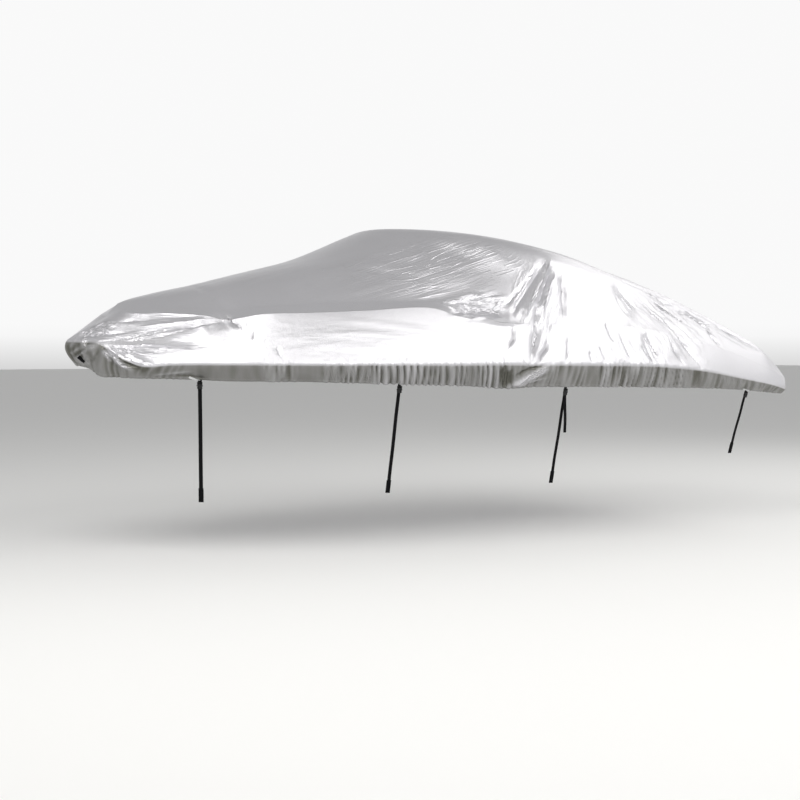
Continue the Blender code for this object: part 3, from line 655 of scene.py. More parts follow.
    "long crease 4": (-0.9, 2.8, 0.7, ((411, -87, 163), (422, -93, 154), (434, -95, 148), (443, -96, 144))),
    "long crease 5": (-0.9, 2.8, 0.7, ((445, -84, 158), (457, -87, 151), (471, -88, 146))),
    "long crease 6": (-0.7, 2.4, 0.7, ((459, -95, 140), (462, -97, 137), (465, -101, 131))),
    "long crease 7": (-0.7, 2.6, 0.6, ((394, -91, 161), (405, -94, 152), (412, -96, 147))),
    "long crease 8": (-0.8, 2.8, 0.6, ((434, -87, 156), (450, -86, 153), (461, -90, 146), (465, -94, 140))),
    "long crease 9": (-0.6, 2.8, 0.5, ((406, -82, 172), (422, -85, 163), (442, -84, 158))),
    "long crease 10": (-0.8, 2.6, 0.7, ((441, -83, 158), (452, -87, 152), (461, -90, 146), (470, -90, 144))),
    "long crease 11": (-0.9, 2.4, 0.7, ((460, -92, 144), (461, -98, 137), (463, -102, 131))),
    "long crease 12": (-1.0, 2.8, 0.7, (
        (412, -86, 165), (420, -90, 158), (429, -93, 152), (437, -95, 148), (440, -98, 142))),
    "long crease 13": (-0.9, 2.4, 0.7, ((372, -91, 166), (375, -94, 160), (378, -97, 154), (381, -99, 150))),
    "long crease 14": (-0.8, 2.4, 0.7, ((378, -86, 173), (381, -89, 166), (386, -92, 161), (393, -94, 157))),
    "long crease 15": (-0.7, 2.6, 0.6, ((407, -80, 174), (417, -82, 169), (424, -85, 163))),
    "crest crease": (-1.1, 3.0, 0.6, (
        (444, -80, 162), (461, -83, 156), (473, -84, 151), (482, -87, 145), (493, -89, 139), (504, -92, 134),
        (511, -95, 129), (521, -97, 122))),
    "side crease 10": (-0.8, 2.2, 0.7, ((381, -108, 133), (384, -111, 126), (387, -113, 119))),
    "side crease 11": (-0.8, 2.2, 0.7, ((389, -105, 139), (392, -108, 129), (396, -112, 121))),
    "quarter crease 1": (-1.1, 3.4, 0.5, ((480, -86, 146), (495, -91, 135), (510, -96, 127))),
    "quarter crease 2": (-0.7, 3.0, 0.5, ((468, -91, 143), (488, -93, 135), (503, -96, 128))),
    # the knot of cloth at the low point of the hem
    "knot line 1": (1.3, 2.4, 0.8, ((270, -103, 104), (276, -108, 110), (283, -112, 114), (294, -114, 118))),
    "knot line 2": (0.8, 2.0, 0.7, ((275, -103, 104), (283, -107, 107), (296, -108, 110))),
    "knot line 3": (-1.2, 2.6, 0.6, ((266, -102, 104), (260, -107, 111), (257, -112, 117), (258, -113, 122))),
    "knot line 4": (-1.0, 2.2, 0.6, ((270, -110, 112), (278, -113, 116), (288, -113, 118))),
}
foldLook = {
    "wander": 0.7, "wanderSize": 9.0,  # how far a fold's line strays from its straight runs
    "endKeeps": 0.25, "fadeIn": 0.2, "fadeOut": 0.3,
    "crispPower": 2.2,
    "creaseFrom": 0.5,                 # folds as crisp as this are drawn by the material too
    "creaseGain": 1.35, "creaseShare": 0.42, "creaseWidest": 5.0,
}


def noiseAt(places, seed):
    shift = 17.3 * seed
    return np.array([noise.noise(Vector((x + shift, y - shift, z + shift))) for x, y, z in places.tolist()])


def strayed(points):
    flat = points.reshape(-1, 3)
    strays = np.stack([noiseAt(flat / foldLook["wanderSize"], seed) for seed in (31, 32, 33)], axis=1)
    return (flat + foldLook["wander"] * strays).reshape(points.shape)


def alongLine(points, normals, reach, line):
    # which points lie near a line, how far from it with a sign for the side, and the fade at its ends
    line = np.array(line, dtype=float)
    low, high = line.min(axis=0) - reach, line.max(axis=0) + reach
    near = np.all((points > low) & (points < high), axis=-1)
    p, n = points[near], normals[near]
    runs = np.linalg.norm(np.diff(line, axis=0), axis=1)
    starts = np.concatenate([[0], np.cumsum(runs)])
    away = np.full(len(p), 1e9)
    place = np.zeros(len(p))
    for a, b, run, start in zip(line, line[1:], runs, starts):
        t = np.clip((p - a) @ (b - a) / run ** 2, 0, 1)
        gap = p - a - t[:, None] * (b - a)
        side = np.where(np.einsum("ij,ij->i", np.cross(n, b - a), gap) < 0, -1, 1)
        far = np.linalg.norm(gap, axis=1)
        closer = far < np.abs(away)
        away = np.where(closer, side * far, away)
        place = np.where(closer, (start + t * run) / starts[-1], place)
    inside = smoothStep(np.minimum(place / foldLook["fadeIn"], (1 - place) / foldLook["fadeOut"]))
    return near, away, foldLook["endKeeps"] + (1 - foldLook["endKeeps"]) * inside


def foldLift(points, normals, height, reach, crisp, line):
    # a ridge or trough along a line: soft like a swell, or crisp like a crease
    near, away, fade = alongLine(points, normals, reach, line)
    t = np.clip(np.abs(away) / reach, 0, 1)
    swell, crease = (1 - t * t) ** 2, (1 - t) ** foldLook["crispPower"]
    lift = np.zeros(points.shape[:-1])
    lift[near] = height * fade * ((1 - crisp) * swell + crisp * crease)
    return lift * (foldLook["creaseGain"] if crisp >= foldLook["creaseFrom"] else 1)


def creaseMarks(points, normals):
    # the material draws each sharp crease from these: distance to the nearest one, and its height
    away, tall = np.full(points.shape[:-1], 1.0), np.zeros(points.shape[:-1])
    for height, reach, crisp, line in folds.values():
        if crisp >= foldLook["creaseFrom"]:
            near, gap, fade = alongLine(points, normals, foldLook["creaseWidest"], line)
            closer = np.abs(gap) * cm < np.abs(away[near])
            away[near] = np.where(closer, gap * cm, away[near])
            tall[near] = np.where(closer, height * fade * cm * foldLook["creaseShare"], tall[near])
    return {"creaseAway": away, "creaseTall": tall}


# name: (attribute, middle, way along, half length, half breadth, wave, run of one wrinkle, height)
wrinkles = {
    "top wrinkles": ("pull1", (222, -68, 185), (0.96, 0, 0.28), 72, 30, 4.4, 150, 0.42),
    "fore wrinkles": ("pull2", (165, -60, 176), (0.95, 0, 0.30), 50, 22, 5.5, 70, 0.14),
    "bow cheek": ("pull1", (38, -42, 135), (0.80, -0.58, 0.10), 34, 11, 2.8, 34, 0.26),
    "bow top": ("pull2", (16, -14, 140), (0.70, -0.50, 0.35), 15, 10, 2.3, 4.5, 0.45),
    "bow face": ("pull3", (8, -13, 127), (0.30, -0.90, 0.10), 14, 9, 3.4, 7, 0.45),
    "pocket crumple": ("pull2", (250, -96, 158), (0.95, 0, 0.20), 28, 12, 3.6, 17, 0.45),
    "screen fan": ("pull3", (300, -96, 164), (-0.48, -0.25, -0.84), 34, 24, 4.5, 22, 0.40),
    "side fan": ("pull1", (392, -106, 136), (0.35, -0.25, -0.90), 22, 60, 5.5, 18, 0.30),
    "aft fan": ("pull2", (425, -92, 152), (0.66, -0.25, -0.70), 34, 40, 5.0, 26, 0.45),
    "aft top": ("pull4", (400, -30, 190), (0.94, 0, -0.34), 95, 72, 9, 60, 0.40),
    "fore top": ("pull4", (120, 0, 178), (0.95, 0, 0.31), 80, 60, 10, 50, 0.22),
    "white side": ("pull3", (150, -95, 135), (0.97, -0.15, 0.0), 90, 16, 8.0, 50, 0.10),
    "starboard wrinkles": ("pull1", (240, 76, 188), (0.96, 0, 0.28), 58, 24, 4.0, 30, 0.50),
    "starboard cheek": ("pull1", (38, 42, 135), (0.80, 0.58, 0.10), 34, 11, 3.0, 16, 0.42),
    "starboard fan": ("pull3", (300, 96, 164), (-0.48, 0.25, -0.84), 34, 26, 5.5, 24, 0.70),
    "starboard side": ("pull1", (385, 106, 136), (0.30, 0.25, -0.90), 22, 80, 6.0, 20, 0.45),
    "starboard aft fan": ("pull2", (425, 92, 152), (0.66, 0.25, -0.70), 36, 42, 6.0, 26, 0.55),
    "starboard fore": ("pull3", (150, 95, 135), (0.97, 0.15, 0.0), 90, 16, 9.0, 50, 0.20),
}
wrinkleLook = {
    "edge": 1.6, "depth": 25,          # how soon a patch runs out at its edges, and how deep it reaches
    "crest": 3.2, "finer": 2.3, "finerShare": 0.5,
    "bumpShare": 0.30,                 # height of the finest wrinkles, as a part of the patch's height
}


def pullPlaces(points, normals, middle, way, halfLength, halfBreadth, wave, run):
    # a patch of parallel wrinkles: place across and along them, and a mask that runs out at its edges
    offset = points - np.array(middle, dtype=float)
    way = np.array(way) / np.linalg.norm(way)
    a = offset @ way
    b = np.einsum("ijk,ijk->ij", offset, unit(np.cross(normals, way)))
    depth = np.einsum("ijk,ijk->ij", offset, normals)
    mask = smoothStep(wrinkleLook["edge"] * (1 - (a / halfLength) ** 2 - (b / halfBreadth) ** 2))
    return np.stack([b / wave, a / run, np.where(np.abs(depth) < wrinkleLook["depth"], mask, 0)], axis=-1)


def raiseWrinkles(points, normals, marks):
    lift = np.zeros(points.shape[:-1])
    for seed, (pull, *patch, height) in enumerate(wrinkles.values()):
        places = pullPlaces(points, normals, *patch)
        near = places[..., 2] > 0.01
        mask = places[near][:, 2]
        flat = places[near] * (1, 1, 0)
        finer = wrinkleLook["finerShare"] * noiseAt(wrinkleLook["finer"] * flat, seed + 40)
        swell = 1 - wrinkleLook["crest"] * np.abs(noiseAt(flat, seed)) + finer
        lift[near] += height * mask * swell
        marks[pull][near] = places[near] * (1, 1, height * wrinkleLook["bumpShare"] * cm)
    return lift


# Gathers of the skirt: from x, to x, height, pitch, slant, and how even the pleats are.
gathers = {
    port: (
        (-5, 60, 0.30, 4.0, 0.5, 0), (50, 150, 0.12, 5.0, 0.0, 0), (88, 118, 0.80, 2.2, 0.3, 0.3),
        (122, 270, 1.35, 4.5, 0.25, 0.8), (262, 335, 0.50, 4.0, 1.5, 0), (330, 425, 0.90, 3.8, 1.3, 0.5),
        (410, 530, 0.35, 4.5, 1.0, 0)),
    starboard: (
        (-5, 150, 0.35, 4.2, 0.4, 0), (140, 300, 1.00, 4.8, 0.2, 0.7), (290, 440, 0.80, 4.0, 1.0, 0.4),
        (420, 530, 0.40, 4.5, 0.8, 0)),
}
pleatLook = {
    "ramp": 12,                        # cm over which a run of gathers starts and ends
    "sideInSkirts": 2.2, "fullTo": 0.8, "goneAt": 1.35, "goneOver": 0.55,    # heights, in skirts from the hem
    "crest": 3.0, "upRun": 0.55,
    "evenRun": 3.0, "evenStray": 0.9, "evenTall": 1.7, "evenPower": 0.6, "evenSwell": 1.6,
    "finePitch": 2.4, "fineRun": 0.8, "fineShare": 0.24,
    "pucker": 0.0012, "puckerPitch": 1.1, "puckerRun": 0.3, "puckerReach": 2.4,
    "soilTo": 1.03, "soilOver": 0.10,
# painted shade: the skirt darkened from the hem up to the rail, gone at this height in skirts from the hem
}


def raiseGathers(points, side, marks):
    # the elastic hem gathers the skirt into upright pleats, which die out just above the rail
    look = pleatLook
    rows = slice(0, rowAt["seam"]) if side == port else slice(rowCount - 1, rowCount - 1 - rowAt["seam"], -1)
    skirt = points[:, rows]
    rail = skirt[:, rowAt["rail"]]
    arc = np.concatenate([[0], np.cumsum(np.linalg.norm(np.diff(rail, axis=0), axis=1))])[:, None]
    above = 1 + np.arange(rowAt["seam"] - rowAt["rail"]) / drape["sideRows"] * look["sideInSkirts"]
    t = np.concatenate([drape["skirtRows"], above])[None, :] + 0 * arc
    weight = np.where(t < look["fullTo"], 1.0, smoothStep((look["goneAt"] - t) / look["goneOver"]))
    lift, tall, lean = np.zeros(t.shape), np.zeros(t.shape), np.zeros(t.shape)
    for seed, (start, end, height, pitch, slant, even) in enumerate(gathers[side]):
        envelope = smoothStep((rail[:, :1] - start) / look["ramp"])
        envelope = envelope * smoothStep((end - rail[:, :1]) / look["ramp"]) * weight
        places = np.stack([arc / pitch - slant * t, look["upRun"] * t, 0 * t], axis=-1).reshape(-1, 3)
        pleat = 1 - look["crest"] * np.abs(noiseAt(places, 60 + seed + 20 * side)).reshape(t.shape)
        if even:
            stray, swell = (noiseAt(places / look["evenRun"], 7 + seed + n).reshape(t.shape) for n in (0, 1))
            wave = np.abs(np.sin(np.pi * (arc / pitch - slant * t + look["evenStray"] * stray)))
            regular = (look["evenTall"] * wave ** look["evenPower"] - 1) * (1 + look["evenSwell"] * swell)
            pleat = even * regular + (1 - even) * pleat
        lift += height * envelope * pleat
        tall += height * envelope * look["fineShare"] * cm
        lean += slant * pitch * envelope
    marks["gather"][:, rows] = np.stack(
        [(arc - lean * t) / look["finePitch"], look["fineRun"] * t, tall], axis=-1)
    ups = np.cumsum(np.linalg.norm(np.diff(skirt, axis=1), axis=2), axis=1)
    up = np.concatenate([np.zeros(arc.shape), ups], axis=1)
    puckers = look["pucker"] * smoothStep(1 - up / look["puckerReach"])
    marks["pucker"][:, rows] = np.stack(
        [arc / look["puckerPitch"] + 0 * t, look["puckerRun"] * t, puckers], axis=-1)
    # painted shade on the down-facing skirt, full below the rail and fading out just above it
    marks["soil"][:, rows] = smoothStep((look["soilTo"] - t) / look["soilOver"])
    whole = np.zeros(points.shape[:-1])
    whole[:, rows] = lift
    return whole


def edgeLift(points, side):
    # the rolled casing at the hem, and the top's edge sewn down over the side
    rows = points if side == port else points[:, ::-1]
    steps = np.linalg.norm(np.diff(rows, axis=1), axis=2)
    up = np.concatenate([np.zeros((len(rows), 1)), np.cumsum(steps, axis=1)], axis=1)
    t = np.clip(up / drape["hemDepth"], 0, 1)
    lift = drape["hemSwell"] * np.sqrt(np.maximum(0, 1 - (2 * t - 1) ** 2))
    beyond = (up - up[:, rowAt["seam"]][:, None]) / drape["seamBand"]
    lift += drape["seamStep"] * np.where((beyond >= 0) & (beyond < 1), 1.0, 0.0)
    lift[:, rowAt["shoulder"]:] = 0
    return lift if side == port else lift[:, ::-1]


def foldedSurface(points):
    normals = outward(points)
    warped = strayed(points)
    marks = {pull: np.zeros(points.shape) for pull in sewn["pulls"]}
    marks["soil"] = np.zeros(points.shape[:-1])
    marks.update(creaseMarks(warped, normals))
    lift = sum(foldLift(warped, normals, *fold) for fold in folds.values())
    lift += raiseWrinkles(points, normals, marks)
    for side in (port, starboard):
        lift += raiseGathers(points, side, marks)
    # painted shade: deeper in the pleats' hollows, lighter on their crests
    marks["soil"] *= np.clip(sewn["soilBetween"] - sewn["soilRubbed"] * lift, sewn["soilLeast"], 1)
    points = points + normals * lift[..., None]
    normals = outward(points)
    edges = edgeLift(points, port) + edgeLift(points, starboard)
    return points + normals * edges[..., None], marks


surface, surfaceMarks = foldedSurface(surface)
print("folds raised")


# ---------- panels

panels = {
    # piece: (node, first row, last row, cut width, cut length, flat area in square metres, sewn edges)
    "top": ("top_panel", seamRows[0], seamRows[1], 2.70, 5.30, 11.8, {"first": 0.004, "last": 0.004}),
    "portSide": ("port_side_panel", 0, seamRows[0], 0.50, 6.00, 2.7, {"first": 0.018}),
    "starboardSide": ("starboard_side_panel", seamRows[1], rowCount - 1, 0.50, 6.00, 2.7, {"last": 0.018}),
}


def inFrame(points):
    return points * cm - datum


def dressNode(piece, node):
    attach(piece, "root")
    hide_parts(node)


def clothPiece(name, node, finish, points, thickness, marks, sewnEdges, mergeEnd=False):
    # a sheet from a grid of points in the frame, with a UV map in metres and what its material reads
    longs, acrosses = points.shape[0] - 1, points.shape[1] - 1
    bm = bmesh.new()
    bmesh.ops.create_grid(bm, x_segments=longs, y_segments=acrosses, size=1)
    bm.verts.index_update()
    uvs = bm.loops.layers.uv.new("cloth")
    along = np.concatenate([[0], np.cumsum(np.linalg.norm(np.diff(points, axis=0), axis=2).mean(axis=1))])
    across = np.linalg.norm(np.diff(points, axis=1), axis=2)
    across = np.concatenate([np.zeros((longs + 1, 1)), np.cumsum(across, axis=1)], axis=1)
    stitchAway = np.full(across.shape, 1.0)
    for edge, row in sewnEdges.items():
        fromEdge = across if edge == "first" else across[:, -1:] - across
        stitchAway = np.minimum(stitchAway, fromEdge - row)
    marks = {**marks, "stitchAway": stitchAway}
    layers = {}
    for mark, values in marks.items():
        kinds = bm.verts.layers.float_vector if values.ndim == 3 else bm.verts.layers.float
        layers[mark] = kinds.new(mark)
    flat = {}
    for vert in bm.verts:
        i = round((vert.co.x + 1) / 2 * longs)
        j = round((vert.co.y + 1) / 2 * acrosses)
        vert.co = points[i, j]
        flat[vert.index] = (along[i], across[i, j])
        for mark, values in marks.items():
            vert[layers[mark]] = values[i, j]
    for face in bm.faces:
        face.smooth = True
        for loop in face.loops:
            loop[uvs].uv = flat[loop.vert.index]
    if mergeEnd:
        bmesh.ops.remove_doubles(bm, verts=bm.verts, dist=mergeWithin)
    for edge in bm.edges:
        edge.smooth = not edge.is_boundary
    piece = meshObject(name, bm, materials[finish])
    wall = piece.modifiers.new("thickness", "SOLIDIFY")
    wall.thickness = thickness
    wall.offset = -1
    dressNode(piece, node)
    return piece


for name, (node, first, last, width, length, area, sewnEdges) in panels.items():
    grid = inFrame(surface[:, first:last + 1])
    marks = {mark: values[:, first:last + 1] for mark, values in surfaceMarks.items()}
    piece = clothPiece(name + "Cloth", node, "silver cloth", grid, drape["thickness"], marks, sewnEdges,
                       mergeEnd=name == "top")
print("top and side panels made")

stern = {
    "width": 2.15, "height": 0.27, "stitches": 0.018,
    "longs": 170, "ups": 26,
    "bulge": (5.0, 0.0, 2.2),
    "gather": 0.8, "pitch": 4.8, "slant": 0.4, "seed": 90,
    "fadeSides": 8, "fadeTop": 1.3,
    # painted shade: the stern panel darkened towards its hem, gone at this share of its height
    "soilTo": 0.6, "soilOver": 0.5,
}


def sternSurface():
    # spanned between the two stern corners, the hem and the end of the top
    end = surface[-1]
    sides = end[:rowAt["shoulder"] + 1], end[::-1][:rowAt["shoulder"] + 1]
    crest = end[rowAt["shoulder"]:rowCount - rowAt["shoulder"]]
    longs, ups = stern["longs"], stern["ups"]
    grid = np.zeros((longs + 1, ups + 1, 3))
    bulge = np.array(stern["bulge"])
    for m in range(ups + 1):
        up = m / ups
        where = up * rowAt["shoulder"]
        low = int(min(where, rowAt["shoulder"] - 1))
        left, right = (side[low] + (side[low + 1] - side[low]) * (where - low) for side in sides)
        for k in range(longs + 1):
            u = k / longs
            spot = u * (len(crest) - 1)
            at = int(min(spot, len(crest) - 2))
            top = crest[at] + (crest[at + 1] - crest[at]) * (spot - at)
            level = left + (right - left) * u
            chord = crest[0] + (crest[-1] - crest[0]) * u
            grid[k, m] = level + up * (top - chord) + bulge * (1 - up) * 4 * u * (1 - u)
    return grid


def sternFolds(grid):
    look = pleatLook
    u = np.linspace(0, 1, stern["longs"] + 1)[:, None]
    t = np.linspace(0, 1, stern["ups"] + 1)[None, :]
    run, thin = look["fineRun"] * t + 0 * u, look["puckerRun"] * t + 0 * u
    places = np.stack([grid[..., 1] / stern["pitch"] + stern["slant"] * t, run, 0 * grid[..., 0]], axis=-1)
    pleat = 1 - look["crest"] * np.abs(noiseAt(places.reshape(-1, 3), stern["seed"])).reshape(run.shape)
    inside = smoothStep(stern["fadeSides"] * u) * smoothStep(stern["fadeSides"] * (1 - u))
    inside = inside * smoothStep(stern["fadeTop"] * (1 - t))
    normals = unit(np.cross(np.gradient(grid, axis=0), np.gradient(grid, axis=1)))
    up = t * stern["height"] / cm
    tall = stern["gather"] * inside * look["fineShare"] * cm
    puckers = look["pucker"] * smoothStep(1 - up / look["puckerReach"]) + 0 * u
    marks = {
        "gather": np.stack([grid[..., 1] / look["finePitch"], run, tall], axis=-1),
        "pucker": np.stack([grid[..., 1] / look["puckerPitch"], thin, puckers], axis=-1),
        # painted shade, darker towards the hem
        "soil": smoothStep((stern["soilTo"] - t) / stern["soilOver"]) + 0 * u,
        "creaseAway": np.full(grid.shape[:-1], 1.0),
        "creaseTall": np.zeros(grid.shape[:-1]),
    }
    return grid + normals * (stern["gather"] * inside * pleat)[..., None], marks


sternGrid, sternMarks = sternFolds(sternSurface())
piece = clothPiece("sternCloth", "stern_panel", "silver cloth", inFrame(sternGrid), drape["thickness"],
                   sternMarks, {"first": stern["stitches"]})
print("stern panel made")


# ---------- straps, buckles, patches and the bow tab

webbing = {
    "count": 4, "tailOf": 3,
    "width": 0.025, "thickness": 0.0018, "step": 0.008,
    "edgeShare": 0.4, "edgeLevel": 0.35,           # how its two edges are turned over
    "sway": 0.0016, "swayTurns": 9, "swayFrom": 0.12, "swayRise": 5, "swayFall": 6,
    "sleeveWidth": 0.031, "sleeveThickness": 0.0014, "sleeveSteps": 10, "sleeveTurn": 9,
    "layerGap": 0.0017, "inSleeve": 0.006,         # the webbing stops short of the sleeve's end
    "tailLength": 0.255, "tailStops": 30, "tailSway": ((0.0012, 4), (0.0016, 7)),
}
strapStitch = {
    "long": 0.0032, "wide": 0.0008, "tall": 0.0006, "pitch": 0.0046,
    # a box with a cross in it: across the strap and down from its fold
    "corners": ((-0.0115, 0.006), (0.0115, 0.006), (-0.0115, 0.074), (0.0115, 0.074)),
}
mm = 0.001
buckle = {
    "drop": 0.025, "out": 0.0058, "foot": 0.0234,  # its middle below and out from the bend, and its own foot
    # the webbing over its middle bar: up and out from its middle, in mm
    "thread": ((17.3, -5.2), (17.25, -1.0), (16.5, 1.4), (14.4, 2.2), (12.3, 1.4), (11.65, -1.0),
               (11.6, -5.2)),
    # its blocks in mm: middle (right, up, out), size, bevel. One to the left has a twin to the right.
    "blocks": (
        ((0, 20.6, -0.6), (30, 4.2, 6.4), 1.2), ((0, 14.4, -1.0), (27, 3.2, 4.2), 1.0),
        ((0, 8.6, -0.3), (32, 4.0, 7.2), 1.2), ((-15.2, 14.5, -0.6), (3.4, 14, 6.4), 1.0),
        ((0, 4.6, -0.2), (9, 6, 4.6), 0.8), ((-13.2, 5.6, 0), (3, 5, 4.6), 0.6),
        ((-17.2, -1.2, 0), (3.4, 12.4, 5.8), 1.3), ((0, -3.4, 4.5), (17, 1.3, 1.0), 0.4),
        ((0, -6.6, 4.5), (17, 1.3, 1.0), 0.4), ((0, -9.8, 4.5), (17, 1.3, 1.0), 0.4),
        ((0, -20.4, 4.4), (25, 2.6, 1.2), 0.5)),
    # the outline of half its socket in mm: right and up
    "socket": ((15.4, 4.4), (15.4, 2.4), (13.9, 0.8), (13.9, -9.4), (15.9, -11.6), (15.9, -19.6),
               (13.2, -22.9)),
    "socketBack": -4.5, "socketDeep": 0.009, "socketBevel": 0.0012,
}


def addRibbon(bm, path, across, width, thickness, uvs):
    # webbing along a path: a flat tube with its edges turned over
    half, edge, level = width / 2, thickness * webbing["edgeShare"], webbing["edgeLevel"]
    outline = [(-half + edge, -1), (half - edge, -1), (half, -level), (half, level), (half - edge, 1),
               (-half + edge, 1), (-half, level), (-half, -level)]
    rings, gone = [], [0.0]
    for i, place in enumerate(path):
        along = path[min(i + 1, len(path) - 1)] - path[max(i - 1, 0)]
        out = across.cross(along).normalized()
        rings.append([bm.verts.new(place + across * a + out * (b * thickness / 2)) for a, b in outline])
        if i:
            gone.append(gone[-1] + (place - path[i - 1]).length)
    for i, (low, high) in enumerate(zip(rings, rings[1:])):
        for k in range(len(outline)):
            after = (k + 1) % len(outline)
            face = bm.faces.new([low[k], low[after], high[after], high[k]])
            face.smooth = True
            spots = ((gone[i], k), (gone[i], after), (gone[i + 1], after), (gone[i + 1], k))
            for loop, (far, corner) in zip(face.loops, spots):
                loop[uvs].uv = (far, outline[corner][0])
    bm.faces.new(rings[0][::-1])
    bm.faces.new(rings[-1])


def bevelEdges(bm, verts, offset):
    edges = list({edge for vert in verts for edge in vert.link_edges})
    bmesh.ops.bevel(bm, geom=edges, offset=offset, segments=2, profile=0.6, affect="EDGES")


def addBlock(bm, turn, middle, size, bevel):
    place = turn @ Matrix.Translation(middle) @ Matrix.Diagonal((*size, 1))
    made = bmesh.ops.create_cube(bm, size=1, matrix=place)
    if bevel:
        bevelEdges(bm, made["verts"], bevel)


def directions(right, up, out, middle):
    turn = Matrix((right, up, out)).transposed().to_4x4()
    turn.translation = middle
    return turn


def finishPiece(name, node, finish, bm):
    bmesh.ops.recalc_face_normals(bm, faces=bm.faces)
    dressNode(meshObject(name, bm, materials[finish]), node)


def newRibbonMesh():
    bm = bmesh.new()
    return bm, bm.loops.layers.uv.new("cloth")


def strapLine(node):
    # the solid strap is rings of four corners: its direction across, and the rings' middles from the
    # top down, without the second of the two where its doubled end begins
    bm = bmesh.new()
    bm.from_mesh(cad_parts[node].data)
    bmesh.ops.remove_doubles(bm, verts=bm.verts, dist=mergeWithin)
    corners = sorted((vert.co.copy() for vert in bm.verts), key=lambda co: co.z)
    bm.free()
    foreFirst = sorted(corners[:4], key=lambda co: co.x)
    across = (foreFirst[2] + foreFirst[3] - foreFirst[0] - foreFirst[1]).normalized()
    corners.sort(key=lambda co: (co - across * co.dot(across)).z, reverse=True)
    middles = [sum(corners[i:i + 4], Vector()) / 4 for i in range(0, len(corners), 4)]
    return across, middles[:-2] + middles[-1:]


def makeStrap(number, across, stops):
    bm, uvs = newRibbonMesh()
    bendEnd, fold, end = stops[-3:]
    fall = (fold - bendEnd).normalized()
    out = fall.cross(across)
    run = (fold - bendEnd).length
    count = round(run / webbing["step"])
    path = list(stops[:-3])
    for t in np.linspace(0, 1, count + 1).tolist():
        fade = smoothStep(webbing["swayRise"] * (t - webbing["swayFrom"]))
        fade = float(fade * smoothStep(webbing["swayFall"] * (1 - t)))
        sway = webbing["sway"] * math.sin(webbing["swayTurns"] * t + number) * fade
        path.append(bendEnd + fall * (run * t) + out * sway)
    path.append(end - fall * webbing["inSleeve"])
    addRibbon(bm, path, across, webbing["width"], webbing["thickness"], uvs)
    # the sleeve that doubles the lower end
    gap, steps = webbing["layerGap"], webbing["sleeveSteps"]
    turnAt = end - fall * (gap + webbing["sleeveThickness"] / 2)
    down = [fold + (turnAt - fold) * (k / steps) for k in range(steps)]
    angles = np.linspace(0, math.pi, webbing["sleeveTurn"])
    loop = [turnAt + out * (gap * math.cos(a)) + fall * (gap * math.sin(a)) for a in angles]
    sleeve = [p + out * gap for p in down] + loop + [p - out * gap for p in down[::-1]]
    addRibbon(bm, sleeve, across, webbing["sleeveWidth"], webbing["sleeveThickness"], uvs)
    size = (strapStitch["long"], strapStitch["wide"], strapStitch["tall"])
    for face in (1, -1):
        away = face * (gap + webbing["sleeveThickness"] / 2 + strapStitch["tall"] / 4)
        for (a, b), (c, d) in combinations(strapStitch["corners"], 2):
            line = across * (c - a) + fall * (d - b)
            way = line.normalized()
            for k in range(max(1, round(line.length / strapStitch["pitch"]))):
                spot = fold + across * a + fall * b + way * (strapStitch["pitch"] * (k + 0.5)) + out * away
                addBlock(bm, directions(way, out.cross(line).normalized(), out, spot), (0, 0, 0), size, 0)
    # the webbing goes through the buckle, over its middle bar
    middle = bendEnd + fall * buckle["drop"] + out * buckle["out"]
    thread = [middle - fall * (up * mm) + out * (away * mm) for up, away in buckle["thread"]]
    addRibbon(bm, thread, across, webbing["width"], webbing["thickness"], uvs)
    finishPiece(f"portStrap{number}", f"port_strap_{number}", "black webbing", bm)
    return middle, fall, out


def makeBuckle(number, across, middle, fall, out):
    bm = bmesh.new()
    turn = directions(across, -fall, out, middle) @ Matrix.Scale(mm, 4)
    for (x, y, z), size, bevel in buckle["blocks"]:
        for side in (1, -1) if x else (1,):
            addBlock(bm, turn, (side * x, y, z), size, bevel * mm)
    outline = buckle["socket"] + tuple((-x, y) for x, y in buckle["socket"][::-1])
    face = bm.faces.new([bm.verts.new(turn @ Vector((x, y, buckle["socketBack"]))) for x, y in outline])
    raised = bmesh.ops.extrude_face_region(bm, geom=[face])["geom"]
    tops = [thing for thing in raised if isinstance(thing, bmesh.types.BMVert)]
    bmesh.ops.translate(bm, verts=tops, vec=out * buckle["socketDeep"])
    bevelEdges(bm, (*tops, *face.verts), buckle["socketBevel"])
    finishPiece(f"portBuckle{number}", f"port_buckle_{number}", "black plastic", bm)


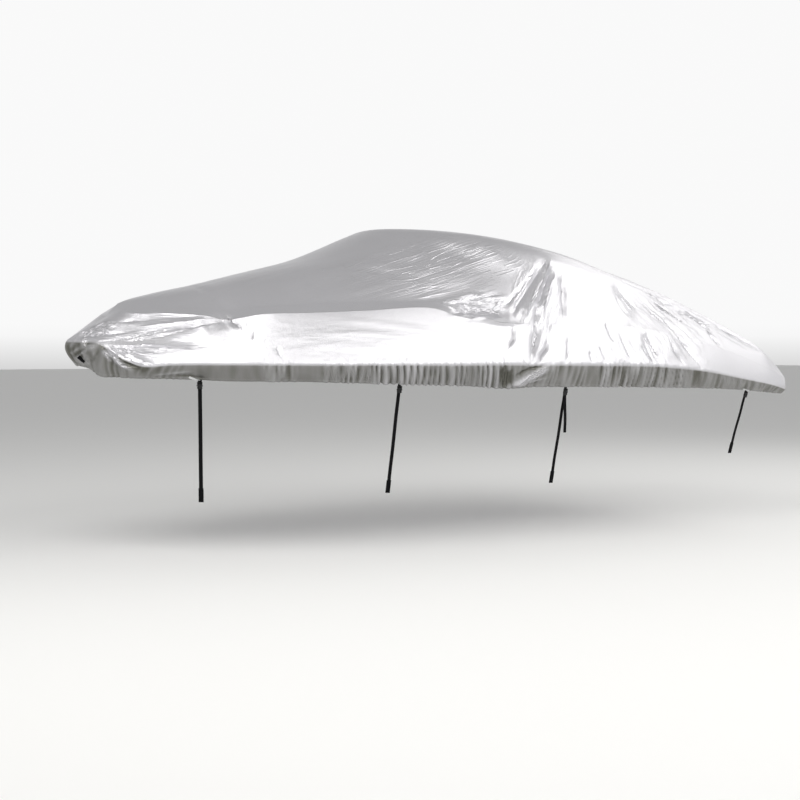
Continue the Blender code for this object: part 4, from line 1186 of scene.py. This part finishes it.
def makeTail(across, top):
    # the strap's free end, which hangs plumb from its buckle
    bm, uvs = newRibbonMesh()
    tail = []
    for t in np.linspace(0, 1, webbing["tailStops"]):
        sway = [reach * math.sin(turns * t) for reach, turns in webbing["tailSway"]]
        tail.append(top + Vector((*sway, -webbing["tailLength"] * t)))
    addRibbon(bm, tail, across, webbing["width"], webbing["thickness"], uvs)
    finishPiece("portStrap3Tail", "port_strap_3_tail", "black webbing", bm)


for number in range(1, webbing["count"] + 1):
    across, stops = strapLine(f"port_strap_{number}")
    middle, fall, out = makeStrap(number, across, stops)
    makeBuckle(number, across, middle, fall, out)
    if number == webbing["tailOf"]:
        makeTail(across, middle + fall * buckle["foot"])
print("straps and buckles made")

patches = {
    # name: (node, direction along it, long, tall, thickness, finish)
    "portPatch1": ("port_patch_1", (1, 0, 0), 0.072, 0.018, 0.0012, "patch cloth"),
    "portPatch4": ("port_patch_4", (1, 0, 0), 0.080, 0.012, 0.0012, "patch cloth"),
    "bowTab": ("bow_tab", (0.4, -1, 0.9), 0.030, 0.058, 0.0016, "black webbing"),
}
patchLook = {"longs": 24, "talls": 8, "gap": 0.0008, "stitches": 0.0025}


def skinOf(points):
    # a grid of points as a surface that a patch can be laid on
    longs, wide = points.shape[:2]
    quads = [(i * wide + j, (i + 1) * wide + j, (i + 1) * wide + j + 1, i * wide + j + 1)
             for i in range(longs - 1) for j in range(wide - 1)]
    return BVHTree.FromPolygons(points.reshape(-1, 3).tolist(), quads)


skin = skinOf(inFrame(surface[:, :rowAt["seam"]]))
for name, (node, right, long, tall, thickness, finish) in patches.items():
    low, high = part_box(node)
    place, out = skin.find_nearest((low + high) / 2)[:2]
    right = Vector(right)
    right = (right - out * right.dot(out)).normalized()
    up = out.cross(right)
    longs, talls = patchLook["longs"], patchLook["talls"]
    grid = np.zeros((longs + 1, talls + 1, 3))
    for i in range(longs + 1):
        for j in range(talls + 1):
            target = place + right * (long * (i / longs - 0.5)) + up * (tall * (j / talls - 0.5))
            spot, lean = skin.find_nearest(target)[:2]
            grid[i, j] = spot + lean * (patchLook["gap"] + thickness)
    piece = clothPiece(name, node, finish, grid, thickness, {}, {"first": patchLook["stitches"]})
print("patches and tab made")
